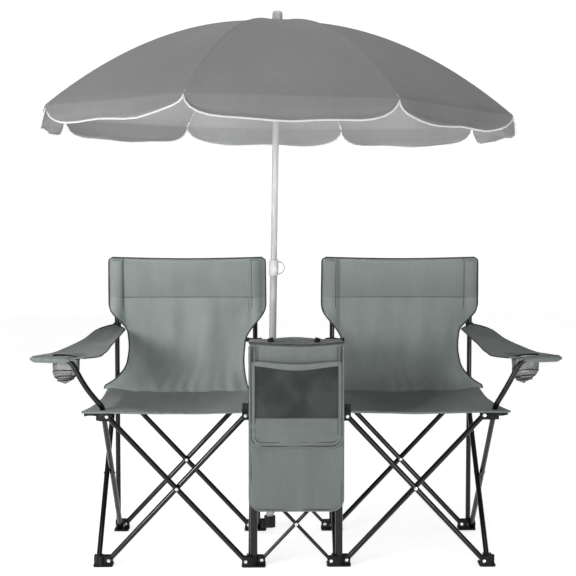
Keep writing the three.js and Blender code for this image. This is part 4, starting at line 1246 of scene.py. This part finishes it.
def hem_sleeve(side):
    """The front hem, a tube of cloth round the bent end of the arm tube, drawn in at both ends."""
    path = [hem_end(side, out) for out in even(30, -0.028, HEM_TUBE_LENGTH + 0.008)]
    swell = [0.25 + 0.75 * rising(0, 0.3, s) * (1 - 0.8 * rising(0.9, 1, s)) for s in even(30)]
    sleeve = bent_tube("hem_sleeve", path, TUBE_RADIUS + 0.0024, 6, swell=swell)
    for vertex in sleeve.data.vertices:
        vertex.co.y -= 0.0008 * math.sin(260 * vertex.co.x)
    return sleeve


def add_cup_net(side):
    """The mesh bag that hangs from the cup hole, with its elastic."""
    centre = cup_centre(side)
    body = BODY_OF[f"arm_tube_{side}"]

    def net(u, v):
        turn = 2 * math.pi * u
        radius = CUP_RADIUS * (1 - 0.05 * v) - 0.014 * rising(0.6, 1, v) ** 2
        radius += 0.0022 * v * math.sin(3 * turn + 5 * v) + 0.001 * math.sin(7 * turn + 9 * v) * v
        x = radius * math.cos(turn)
        slump = 0.004 * math.cos(turn + 0.8) * v
        tip = CUP_TIP * SIDES[side] * x * (1 - v)
        return centre + Vector((x, radius * math.sin(turn), tip - CUP_WALL_DEPTH * v + slump))

    def base(u, v):
        rim = net(u, 1) - centre
        inwards = 1 - v * 0.98
        drop = 0.008 * math.sin(math.pi / 2 * v) + 0.001 * math.sin(8 * math.pi * u) * v * (1 - v)
        return centre + Vector((rim.x * inwards, rim.y * inwards, rim.z - drop))

    wall = cloth(f"cup_net_{side}_wall", net, around(40), even(14), 0.0006, wrapped=True)
    floor = cloth(f"cup_net_{side}_floor", base, around(40), even(6), 0.0006, wrapped=True)
    whole = dress(join(f"cup_net_{side}", [wall, floor]), CUP_NET, body)
    bands = []
    for share, slant, radius in CUP_BANDS:
        ring = [net(turn, share + slant * math.sin(2 * math.pi * turn)) for turn in around(40)]
        bands.append(bent_tube("elastic", ring, radius, 3, cyclic=True))
    bands.append(bent_tube("elastic", [net(turn, 0.02) for turn in around(48)], 0.0025, 3, cyclic=True))
    dress(join(f"cup_elastic_{side}", bands), BLACK_WEBBING, body)


def webbing_ring(centre, radius, size, count, slant=0.0):
    """One turn of webbing round a post."""
    ring = []
    for share in around(count):
        x, y = math.cos(2 * math.pi * share), math.sin(2 * math.pi * share)
        ring.append(centre + Vector((radius * x, radius * y, slant * y)))
    return bent_tube("loop", ring, size, 3, cyclic=True)


def add_arm_loop(side, surface):
    """The webbing that ties the back of an armrest to its post."""
    x, y = COLUMN_X["outer", side], ROW_Y["back"]
    straps = [
        webbing_ring(Vector((x, y, ARM_LOOP_HEIGHT + rise)), ARM_LOOP_RADIUS, 0.002, 28, 0.003)
        for rise in (-0.003, 0, 0.003)
    ]
    back_edge = [surface(u, 0.995) + Vector((0, 0, 0.0012)) for u in even(12)]
    outer_edge = [surface(0.02, v) + Vector((0, 0, 0.001)) for v in even(12, 0.8, 1)]
    straps += [bent_tube("strap", back_edge, 0.0026, 3), bent_tube("strap", outer_edge, 0.0022, 3)]
    loop = dress(join(f"arm_loop_{side}", straps), BLACK_WEBBING, BODY_OF[f"armrest_{side}"])
    follow(loop, arm_plan(side))


# Umbrella
UMBRELLA_LEAN = math.radians(0.9)
POLE_FOOT = Vector((MIDDLE_X - 0.074, MIDDLE_Y + 0.170, 0.020))
LEANING = Matrix.Translation(POLE_FOOT) @ Matrix.Rotation(UMBRELLA_LEAN, 4, "Y")
CANOPY_RADIUS = 0.713
CANOPY_RISE = 0.287
RIB_SPRING = 0.012
CANOPY_APEX = 1.556
CANOPY_FULLNESS = 2.08
CANOPY_TURN = math.radians(-19.2)
CANOPY_HOLE = 0.012
CANOPY_OVER_RIBS = 0.0012
VALANCE_DEPTH = 0.062
VALANCE_TIP = 0.004
GORES = 8

# How square the two corners of each gore's valance are, how far it swings out, and its share of the depth,
# from the right side round
VALANCE_CORNERS = ((9, 11), (6, 5), (6, 5), (4, 7), (9, 11), (8, 2.4), (5, 5), (4, 2.8))
VALANCE_SWING = (0.027, -0.004, -0.003, -0.004, 0.032, 0.0, -0.004, 0.002)
VALANCE_SHARE = (1, 1, 1, 1, 1, 0.84, 1, 0.9)


def on_pole(x, y, height):
    """A point of the umbrella, which leans a little about its foot."""
    return LEANING @ Vector((x, y, height - POLE_FOOT.z))


def rib_turn(rib):
    return CANOPY_TURN + 2 * math.pi * rib / GORES


def dome_point(rib, reach, inset):
    """A point of a rib at its reach from the pole, a little under the cloth."""
    turn = rib_turn(rib)
    rise = CANOPY_RISE - RIB_SPRING * math.sin(turn) ** 2
    height = CANOPY_APEX - rise * (reach / CANOPY_RADIUS) ** CANOPY_FULLNESS - inset
    return on_pole(reach * math.cos(turn), reach * math.sin(turn), height)


def canopy_point(u, v):
    """u counts gores, v runs from 0 at the top over 1 at the rim to 2 at the valance's edge."""
    gore = math.floor(u) % GORES
    share = u - math.floor(u)
    reach = lerp(CANOPY_HOLE, CANOPY_RADIUS, min(v, 1))
    start, end = (dome_point(rib, reach, CANOPY_OVER_RIBS) for rib in (gore, gore + 1))
    point = start.lerp(end, share)
    hollow = arch(share) * arch(min(v, 1)) * 0.004
    corner = abs(2 * share - 1) ** VALANCE_CORNERS[gore][0 if share < 0.5 else 1]
    drop = lerp(VALANCE_TIP, VALANCE_DEPTH * VALANCE_SHARE[gore], math.sqrt(max(0, 1 - corner)))
    below = max(0, v - 1)
    phase = gore * 2.4
    slack = arch(share) ** 0.5
    ragged = 0.003 * math.sin(13 * share + phase) * slack
    swing = VALANCE_SWING[gore] * arch(share) ** 0.35
    point.z -= hollow + (drop + ragged) * below * math.sqrt(1 - (swing / VALANCE_DEPTH) ** 2)
    centre = on_pole(0, 0, point.z)
    outward = Vector((point.x - centre.x, point.y - centre.y, 0)).normalized()
    wave = 0.004 * math.sin(5.5 * share * math.pi + phase)
    wave += 0.0025 * math.sin(11 * share * math.pi + phase * 1.7)
    pull = 0.006 * ripple(u * 3.1, v * 5, 0.7) * below
    return point + outward * ((wave * slack + pull + swing) * below)


def add_canopy():
    node = "umbrella_canopy"
    shares = [round(share, 5) for share in closer_at_ends(18)[:-1]]
    columns = [gore + share for gore in range(GORES) for share in shares]
    rows = [*even(26), *even(9, 1.06, 2)]
    canopy = cloth(f"{node}_cloth", canopy_point, columns, rows, 0.0009, wrapped=True)
    dress(canopy, CANOPY_CLOTH, BODY_OF[node], [node])
    sheet_of(canopy)
    piping = bent_tube("canopy_piping", [canopy_point(u, 2.0) for u in columns], 0.0026, 3, cyclic=True)
    dress(piping, WHITE_PIPING, BODY_OF[node])
    seams = []
    for gore in range(GORES):
        line = [canopy_point(gore, v) + Vector((0, 0, 0.0005)) for v in even(30, 0.02, 1)]
        seams.append(bent_tube("seam", line, 0.0009, 2))
    dress(join("canopy_seams", seams), SEAM_TAPE, BODY_OF[node])


# Each pole's bottom, top and radius
POLES = {"lower": (0.0204, 0.820, 0.011), "upper": (0.420, 1.540, 0.0095)}
POLE_SIDES = 48
RIB_RADIUS = 0.0022
RIB_INSET = 0.0052
STRETCHER_SHARE = 0.5
STRETCHER_RADIUS = 0.002
STRETCHER_INSET = 0.0098
COLLAR_MIDDLE = 0.814
WIRE_HALF_HEIGHT = 0.019
WIRE_START = 0.0129
WIRE_REACH = 0.0385
PIN_PLACE = (0.0200, -0.002, COLLAR_MIDDLE + 0.0165)
PIN_LENGTH = (0.004, -0.0005, 0.001)

# Profiles of the round mouldings on the poles, as pairs of a radius and a height
COLLAR_PROFILE = (
    (0.0114, 0.790), (0.0137, 0.790), (0.0145, 0.794), (0.0145, 0.834), (0.0134, 0.838), (0.0099, 0.838),
    (0.0099, 0.8204), (0.0114, 0.8204),
)
CROWN_PROFILE = (
    (0.0099, 1.516), (0.017, 1.516), (0.017, 1.5488), (0.009, 1.5528), (0.009, 1.5572), (0.0152, 1.5572),
    (0.0156, 1.5602), (0.0152, 1.5792), (0.0128, 1.5852), (0.0082, 1.5878), (0.0, 1.5882), (0.0, 1.5404),
    (0.0099, 1.5404),
)
RUNNER_TOP = 1.372
RUNNER_PROFILE = (
    (0.0099, 1.338), (0.0135, 1.338), (0.0135, 1.35), (0.016, 1.354), (0.016, 1.37), (0.015, RUNNER_TOP),
    (0.0099, RUNNER_TOP),
)


def add_poles():
    for part, (bottom, top, radius) in POLES.items():
        node = f"umbrella_pole_{part}"
        pole = tube(f"{node}_round", on_pole(0, 0, bottom), on_pole(0, 0, top), radius, POLE_SIDES)
        dress(pole, WHITE_STEEL, f"umbrella_{part}", [node])


def turned_profile(name, profile):
    """A round piece on the umbrella's pole."""
    turns = [2 * math.pi * share for share in around(POLE_SIDES)]
    rings = [[on_pole(r * math.cos(t), r * math.sin(t), h) for t in turns] for r, h in profile]
    piece = place_in_scene(name, grid_mesh(name, rings, closed_across=True, closed_up=True))
    with editing(piece):
        bpy.ops.mesh.remove_doubles(threshold=MERGE_DISTANCE)
        bpy.ops.mesh.normals_make_consistent(inside=False)
    return smooth(ease(piece, 0.0008, angle=40), 40)


def add_collar():
    """The clamp on the lower pole, with the wire loop and the bead of its spring pin."""
    collar = turned_profile("umbrella_collar_round", COLLAR_PROFILE)
    dress(collar, WHITE_PLASTIC, "umbrella_lower", ["umbrella_collar"])
    low, high = COLLAR_MIDDLE - WIRE_HALF_HEIGHT, COLLAR_MIDDLE + WIRE_HALF_HEIGHT
    control = [Vector((x, 0, z)) for x, z in (
        (WIRE_START, low), (WIRE_REACH, low), (WIRE_REACH, high), (WIRE_START, high)
    )]
    wire = bent_tube("collar_pull_wire", [on_pole(*bezier(control, share)) for share in even(24)], 0.0016, 4)
    dress(wire, WHITE_STEEL, "umbrella_lower")
    bead = on_pole(*PIN_PLACE)
    pin = bent_tube("collar_pin", [bead, bead + Vector(PIN_LENGTH)], 0.0017, 4)
    dress(pin, RIVET_METAL, "umbrella_lower")


def add_crown():
    """The crown and finial with the ribs, and the plastic tips on the ribs."""
    parts = [coloured(turned_profile("umbrella_crown_round", CROWN_PROFILE), WHITE_PLASTIC)]
    for rib in range(GORES):
        line = [dome_point(rib, reach, RIB_INSET) for reach in even(22, 0.015, CANOPY_RADIUS - 0.006)]
        parts.append(coloured(bent_tube("rib", line, RIB_RADIUS, 3), WHITE_STEEL))
    node = "umbrella_crown"
    dress(join("umbrella_crown_ribs", parts), None, BODY_OF[node], [node])
    tips = []
    for rib in range(GORES):
        line = [dome_point(rib, CANOPY_RADIUS - 0.022, 0.005), dome_point(rib, CANOPY_RADIUS - 0.004, 0.004)]
        tips.append(bent_tube("tip", line, 0.0031, 4))
    dress(join("rib_tips", tips), WHITE_PLASTIC, BODY_OF[node])


def add_runner():
    parts = [coloured(turned_profile("umbrella_runner_round", RUNNER_PROFILE), WHITE_PLASTIC)]
    reach = lerp(CANOPY_HOLE, CANOPY_RADIUS, STRETCHER_SHARE)
    for rib in range(GORES):
        turn = rib_turn(rib)
        start = on_pole(0.014 * math.cos(turn), 0.014 * math.sin(turn), RUNNER_TOP - 0.0085)
        line = [start, dome_point(rib, reach, STRETCHER_INSET)]
        parts.append(coloured(bent_tube("stretcher", line, STRETCHER_RADIUS, 3), WHITE_STEEL))
    node = "umbrella_runner"
    dress(join("umbrella_runner_stretchers", parts), None, BODY_OF[node], [node])


# Cooler bag. Depths are in front of the frame's middle.
BAG_BOTTOM, BAG_TOP = (corner.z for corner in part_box("cooler_bag"))
BAG_HALF = 0.096
BAG_BACK = 0.010
BAG_STEP = 0.250
BAG_STEP_FRONT = 0.196
BAG_CORNER = 0.033
WALL_CORNER = 0.012
WALL_STEP = 0.014
PANEL_HALF = 0.129
PANEL_FRONT = 0.239
PANEL_BOTTOM = BAG_BOTTOM + 0.004
HEM_HALF = 0.118
POCKET_BOTTOM = 0.338
POCKET_FRONT = 0.248
WINDOW_LOW = 0.419
WINDOW_HIGH = 0.566
WINDOW_HALF = PANEL_HALF - 0.0135
CORD_TOP = BAG_TOP + 0.010
BAG_LOOP_RADIUS = 0.0128
BAG_LOOP_HEIGHTS = (0.570, 0.577, 0.584, 0.590)

# Cords round the bag's front, each with its half width, bottom, depth and radius
PIPING_LINES = (
    (PANEL_HALF - 0.001, POCKET_BOTTOM, POCKET_FRONT + 0.0005, 0.0026),
    (PANEL_HALF - 0.013, POCKET_BOTTOM + 0.012, POCKET_FRONT + 0.0012, 0.0014),
)
# Dark lines round the bag's front, each with its half width, bottom, depth and radius: stitching beside the
# cords, and, outside the pocket's edge and behind the panel's side edges, black cords that are painted shade
# where the bag's sides fall into shade.
STITCH_AND_SHADE_LINES = (
    (PANEL_HALF - 0.0050, POCKET_BOTTOM + 0.004, POCKET_FRONT + 0.0008, 0.0012),
    (PANEL_HALF + 0.0008, POCKET_BOTTOM - 0.0030, PANEL_FRONT + 0.004, 0.0016),
    (PANEL_HALF - 0.0155, POCKET_BOTTOM + 0.0145, POCKET_FRONT + 0.0012, 0.0009),
    (PANEL_HALF + 0.0010, PANEL_BOTTOM - 0.001, PANEL_FRONT - 0.003, 0.0019),
    (PANEL_HALF - 0.0046, PANEL_BOTTOM + 0.004, PANEL_FRONT + 0.0006, 0.0011),
)


def bag_point(x, front, z):
    return Vector((MIDDLE_X + x, MIDDLE_Y - front, z))


def mouth_lift(x, y):
    """How far the bag's mouth and lid stand up: more at the front, and most at its two corners."""
    forward = share_between(MIDDLE_Y - BAG_BACK, MIDDLE_Y - PANEL_FRONT, y)
    across = share_between(MIDDLE_X - PANEL_HALF, MIDDLE_X + PANEL_HALF, x)
    return 0.002 + forward * (0.015 - 0.0075 * arch(across)) + 0.0016 * ripple(x * 30, 0, 2.2) * forward


def rounded_foot(half, low, high, corner):
    """The outline of a panel with two round lower corners, from its upper left corner to its upper right."""
    points = [(-half, high)]
    for centre, first in ((corner - half, math.pi), (half - corner, -math.pi / 2)):
        for turn in even(10, first, first + math.pi / 2):
            points.append((centre + corner * math.cos(turn), low + corner + corner * math.sin(turn)))
    return [*points, (half, high)]


def half_width_at(z, half, low, corner):
    """Half the width of such a panel at a height."""
    if z - low >= corner:
        return half
    return half - corner + math.sqrt(max(0, corner**2 - (corner - (z - low)) ** 2))


def front_panel(name, half, low, high, front, belly):
    """A sewn panel that swells a little between its edges."""

    def surface(u, v):
        z = lerp(low, high, v)
        wide = max(0.004, half_width_at(z, half, low, BAG_CORNER))
        swell = belly * arch(u) ** 0.7 * arch(min(1, v * 1.02)) ** 0.7
        x = lerp(-wide, wide, u)
        if high == BAG_TOP:
            z += mouth_lift(MIDDLE_X + x, MIDDLE_Y - front) * rising(0.9, 1, v)
        return bag_point(x, front + swell - 0.0014 * ripple(u * 5, v * 7, 1.7), z)

    round_share = BAG_CORNER / (high - low)
    rows = [v * round_share for v in (0.002, 0.03, 0.09, 0.2, 0.34, 0.5, 0.68, 0.85)]
    return cloth(name, surface, even(40), rows + even(44, round_share, 1), 0.0014, 0.0008)


def box_outline(half, depth):
    """The plan of a box with rounded corners, in steps of even length, from its middle."""
    corners = []
    for quadrant, (sx, sy) in enumerate([(1, 1), (-1, 1), (-1, -1), (1, -1)]):
        for i in range(7):
            turn = quadrant * math.pi / 2 + i / 6 * math.pi / 2
            x = sx * (half - WALL_CORNER) + WALL_CORNER * math.cos(turn)
            corners.append((x, sy * (depth - WALL_CORNER) + WALL_CORNER * math.sin(turn)))
    ring = []
    for start, end in zip(corners, corners[1:] + corners[:1]):
        steps = max(1, round(math.dist(start, end) / WALL_STEP))
        ring += [tuple(lerp(a, b, i / steps) for a, b in zip(start, end)) for i in range(steps)]
    return ring


def bag_box(name, front, back, low, high, belly):
    """The soft box of the bag: four walls and a floor with rounded upright corners."""
    centre = (front + back) / 2
    ring = box_outline(BAG_HALF, (front - back) / 2)
    count = len(ring)

    def wall(u, v):
        x, y = ring[round(u * count) % count]
        swell = (1 + belly * arch(v) * (1 - 0.5 * v)) * (1 - 0.05 * falling(0, 0.05, v))
        sag = 0.0012 * ripple(x * 25, y * 25, v * 5)
        place = bag_point(x * swell + sag, centre - y * swell - sag, lerp(low, high, v))
        if high > BAG_TOP - 0.01:
            place.z += mouth_lift(place.x, place.y) * rising(0.8, 1, v)
        return place

    def floor(u, v):
        x, y = ring[round(u * count) % count]
        shrink = (1 - v * 0.96) * 0.95
        return bag_point(x * shrink, centre - y * shrink, low - 0.0005 + 0.001 * v)

    return [
        cloth(f"{name}_walls", wall, around(count), even(36), 0.0022, wrapped=True),
        cloth(f"{name}_floor", floor, around(count), even(8), 0.0022, wrapped=True),
    ]


def hang_on_bag(piece, material):
    """Sews a panel to the bag's front: its finish and how it folds."""
    dress(piece, material, BODY_OF["cooler_bag"])
    sheet_of(piece)
    follow(piece, BAG_FRONT_PLAN)


def add_bag():
    parts = bag_box("bag_upper", PANEL_FRONT - 0.002, BAG_BACK, BAG_STEP, BAG_TOP - 0.002, 0.006)
    parts += bag_box("bag_lower", BAG_STEP_FRONT, BAG_BACK + 0.001, BAG_BOTTOM, BAG_STEP + 0.01, 0.012)
    whole = join("cooler_bag_body", parts)
    dress(whole, BAG_CLOTH, BODY_OF["cooler_bag"], ["cooler_bag"])
    follow(whole, BAG_FRONT_PLAN)
    panel = front_panel("bag_front_panel", PANEL_HALF, PANEL_BOTTOM, BAG_TOP, PANEL_FRONT, 0.003)
    hang_on_bag(panel, BAG_CLOTH)


def add_bag_pocket():
    """The front pocket: cloth below, a mesh window above, and a hem strip that droops open."""
    half = PANEL_HALF - 0.002
    below = front_panel("bag_pocket_cloth", half, POCKET_BOTTOM, WINDOW_LOW, POCKET_FRONT, 0.002)
    hang_on_bag(below, BAG_CLOTH)

    def window(u, v):
        z = lerp(WINDOW_LOW - 0.004, WINDOW_HIGH, v) - 0.005 * arch(u) * v
        crease = 0.0030 * ripple(u * 4.5 + v, v * 3.5, 4.2)
        return bag_point(lerp(-WINDOW_HALF, WINDOW_HALF, u), POCKET_FRONT - 0.0012 - crease, z)

    hang_on_bag(cloth("bag_mesh_window", window, even(44), even(26), 0.0009), WINDOW_MESH)
    for side, sign in SIDES.items():

        def border(u, v):
            x = sign * lerp(WINDOW_HALF - 0.003, half, u)
            z = lerp(WINDOW_LOW - 0.006, WINDOW_HIGH + 0.008, v)
            return bag_point(x, POCKET_FRONT + 0.0008 * arch(u), z)

        hang_on_bag(cloth(f"bag_window_border_{side}", border, even(6), even(24), 0.0016), BAG_CLOTH)

    def hem(u, v):
        droop = 0.0095 * max(0, arch(u)) ** 1.6
        z = lerp(WINDOW_HIGH - 0.003, WINDOW_HIGH + 0.0095, v) - droop * (1.2 - 0.4 * v)
        return bag_point(lerp(-HEM_HALF, HEM_HALF, u), POCKET_FRONT + 0.0006 + 0.0048 * arch(u), z)

    hang_on_bag(cloth("bag_window_hem", hem, even(44), even(5), 0.0022), PIPING)


def edge_cord(half, low, front, size, sides, high=CORD_TOP, corner=None):
    """A cord round the foot and sides of a panel, with corners that keep in line with the panel's."""
    outline = rounded_foot(half, low, high, corner or BAG_CORNER - (PANEL_HALF - half))
    return bent_tube("cord", [bag_point(x, front, z) for x, z in outline], size, sides)


def add_bag_piping():
    body = BODY_OF["cooler_bag"]
    lines = [edge_cord(*line, 4) for line in PIPING_LINES]
    step = POCKET_BOTTOM + 0.02
    lines.append(edge_cord(PANEL_HALF - 0.0005, PANEL_BOTTOM, PANEL_FRONT, 0.0022, 4, step, BAG_CORNER))
    follow(dress(join("bag_piping", lines), PIPING, body), BAG_FRONT_PLAN)
    # Stitching, and black cords that paint the shade along the bag's side edges.
    stitching = [edge_cord(*line, 3) for line in STITCH_AND_SHADE_LINES]
    follow(dress(join("bag_stitching", stitching), BINDING, body), BAG_FRONT_PLAN)


def add_bag_loops():
    """Webbing that holds the bag on the front posts."""
    loops = []
    for side in SIDES:
        for z in BAG_LOOP_HEIGHTS:
            centre = Vector((COLUMN_X["inner", side], ROW_Y["front"], z))
            loops.append(webbing_ring(centre, BAG_LOOP_RADIUS, 0.0018, 24))
    whole = dress(join("bag_post_loops", loops), BLACK_WEBBING, BODY_OF["cooler_bag"])
    follow(whole, bag_plan(0, 0))


# Short straps: the place where they lie to the back and in height, their half width and the solid that they
# are sewn round, then the start and end of the left one and of the right one
STRAPS = {
    "bag_front_tab": (
        MIDDLE_Y - 0.240, 0.454, 0.0048, "post_front_inner",
        {"left": (-0.121, -0.149), "right": (0.121, 0.149)},
    ),
    "seat_corner_strap": (
        MIDDLE_Y - 0.2365, 0.4285, 0.0042, "hub_front_outer",
        {"left": (-0.548, -0.583), "right": (0.548, 0.583)},
    ),
    "bag_back_tie": (
        ROW_Y["back"] - 0.0125, 0.590, 0.0068, "post_back_inner",
        {"left": (-0.147, -0.098), "right": (0.097, 0.156)},
    ),
}
STRAP_THICKNESS = 0.0022


def add_straps():
    for side in SIDES:
        for name, (y, z, half_height, sewn_to, ends) in STRAPS.items():
            strap = flat_strap(f"{name}_{side}", *ends[side], y, z, half_height)
            dress(strap, BLACK_WEBBING, BODY_OF[f"{sewn_to}_{side}"])


def flat_strap(name, start, end, y, z, half_height):
    """A short length of webbing that runs across, with rounded edges and a wavy line."""
    bpy.ops.mesh.primitive_cube_add(
        size=1,
        location=(MIDDLE_X + (start + end) / 2, y, z),
        scale=(abs(end - start), STRAP_THICKNESS, 2 * half_height),
    )
    strap = settle(bpy.context.object, name)
    with editing(strap):
        bpy.ops.mesh.subdivide(number_cuts=5)
    ease(strap, 0.0007)
    for vertex in strap.data.vertices:
        vertex.co.y += 0.0012 * math.sin(260 * vertex.co.x)
        vertex.co.z += 0.0014 * math.sin(120 * vertex.co.x)
    return smooth(strap, 50)


HANDLE_HALF = 0.064
HANDLE_FROM_FRONT = 0.035
HANDLE_RADIUS = 0.0038
HANDLE_END_RADIUS = 0.0074
LID_PUCKERS = 0.0008


def add_lid():
    low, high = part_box("bag_lid")
    half_size = [(b - a) / 2 for a, b in zip(low, high)]
    bpy.ops.mesh.primitive_cube_add(size=2, location=(low + high) / 2, scale=half_size)
    lid = settle(bpy.context.object, "bag_lid_cover")
    with editing(lid):
        bpy.ops.mesh.subdivide(number_cuts=7)
    ease(lid, 0.0018, 3)
    reshape(lid, "SUBSURF", levels=2, render_levels=2)
    for vertex in lid.data.vertices:
        u = (vertex.co.x - low.x) / (high.x - low.x)
        v = (vertex.co.y - low.y) / (high.y - low.y)
        if vertex.co.z > (low.z + high.z) / 2:
            crown = 0.0045 * max(0, arch(u)) ** 0.6 * max(0, arch(v)) ** 0.6
            vertex.co.z += crown + LID_PUCKERS * ripple(u * 8, v * 8, 0.3)
        vertex.co.z += mouth_lift(vertex.co.x, vertex.co.y)
    dress(smooth(lid, 60), LID_CLOTH, "bag_lid", ["bag_lid"])
    rims = []
    for z in (low.z + 0.0012, high.z - 0.0006):
        line = [Vector((lerp(low.x + 0.002, high.x - 0.002, u), low.y - 0.0002, z)) for u in even(40)]
        rims.append(bent_tube("rim", [p + Vector((0, 0, mouth_lift(p.x, p.y))) for p in line], 0.0013, 3))
    follow(dress(join("bag_lid_binding", rims), BINDING, "bag_lid"), LID_PLAN)
    follow(lid, LID_PLAN)
    add_handle(low.y + HANDLE_FROM_FRONT, high.z)


def add_handle(y, lid_top):
    """The carrying handle, a roll of cloth with black ends that are sewn to the lid."""
    centre_x = MIDDLE_X - 0.006
    base = lid_top + mouth_lift(centre_x, y) + 0.010
    points = [
        Vector((centre_x + lerp(-HANDLE_HALF, HANDLE_HALF, t), y, base + 0.005 * arch(t))) for t in even(24)
    ]
    handle = bent_tube("bag_handle", points, HANDLE_RADIUS, 3)
    follow(dress(handle, PIPING, "bag_lid"), LID_PLAN)
    ends = []
    for point, out in ((points[0], -1), (points[-1], 1)):
        line = [point + Vector((0.008 * out, 0, -0.003)), point + Vector((-0.007 * out, 0, 0.0015))]
        ends.append(bent_tube("end", line, HANDLE_END_RADIUS, 4))
    follow(dress(join("bag_handle_ends", ends), BLACK_WEBBING, "bag_lid"), LID_PLAN)


# Floor and light. A light has a place, a target, a width, a height, watts and a spread in degrees.
AMBIENT = 0.295
BACKDROP = 1.05
FLOOR_GLOW = 0.74
WHITE = (1, 1, 1, 1)
LIGHTS = {
    "key": ((-3.0, -3.4, 1.0), (0, 0, 0.8), 1.3, 1.3, 22, 180),
    "front_fill": ((0.9, -4.2, 0.75), (0.1, 0, 0.5), 1.6, 1.6, 9, 180),
    "near_left": ((-1.7, -2.3, 0.95), (-0.45, 0, 0.5), 0.7, 0.7, 3.9, 50),
    "near_right": ((1.3, -2.6, 0.35), (0.33, 0, 0.42), 0.6, 0.6, 0.45, 30),
    "under_canopy": ((0.0, -1.6, 0.25), (0, 0.65, 1.42), 1.5, 0.3, 1.5, 18),
    "top": ((-0.3, -0.6, 3.6), (0, 0, 1.3), 2.4, 2.4, 12.5, 120),
}


def add_floor():
    bpy.ops.mesh.primitive_plane_add(size=14, location=(0, 1.5, -0.001))
    floor = bpy.context.object
    floor.name = "floor"
    finish = Finish("floor", Roughness=0.95, Specular_IOR_Level=0.1, Emission_Strength=FLOOR_GLOW)
    pale = finish.mix(finish.noise(2.5), (0.93, 0.93, 0.93, 1), (0.97, 0.97, 0.97, 1))
    coloured(floor, finish.feed(Base_Color=pale, Emission_Color=pale))


def add_light(name, place, target, width, height, power, spread):
    data = bpy.data.lights.new(name, "AREA")
    data.shape = "RECTANGLE"
    data.size = width
    data.size_y = height
    data.energy = power
    data.spread = math.radians(spread)
    light = place_in_scene(name, data)
    light.location = place
    light.rotation_euler = (Vector(place) - Vector(target)).to_track_quat("Z", "Y").to_euler()


def add_studio():
    """White paper behind, dim soft light all round, and area lights in front, above and under the canopy."""
    world = bpy.data.worlds.new("studio")
    world.use_nodes = True
    studio = Nodes(world.node_tree)
    paper = Value(studio, world.node_tree.nodes["Background"].outputs[0])
    paper.socket.node.inputs["Color"].default_value = WHITE
    paper.socket.node.inputs["Strength"].default_value = BACKDROP
    surround = studio.node("ShaderNodeBackground", {}, {"Color": WHITE, "Strength": AMBIENT})
    seen = studio.node("ShaderNodeLightPath").output("Is Camera Ray")
    choice = studio.node("ShaderNodeMixShader", {}, {"Fac": seen, 1: surround, 2: paper})
    world.node_tree.links.new(choice.socket, world.node_tree.nodes["World Output"].inputs["Surface"])
    bpy.context.scene.world = world
    for name, light in LIGHTS.items():
        add_light(name, *light)
    bpy.context.scene.view_settings.view_transform = "Standard"


add_scissors()
add_posts()
add_arm_tubes()
add_mouldings()
add_backrests()
add_seats()
add_armrests()
add_canopy()
add_poles()
add_collar()
add_crown()
add_runner()
add_bag()
add_bag_pocket()
add_bag_piping()
add_bag_loops()
add_straps()
add_lid()
add_floor()
add_studio()
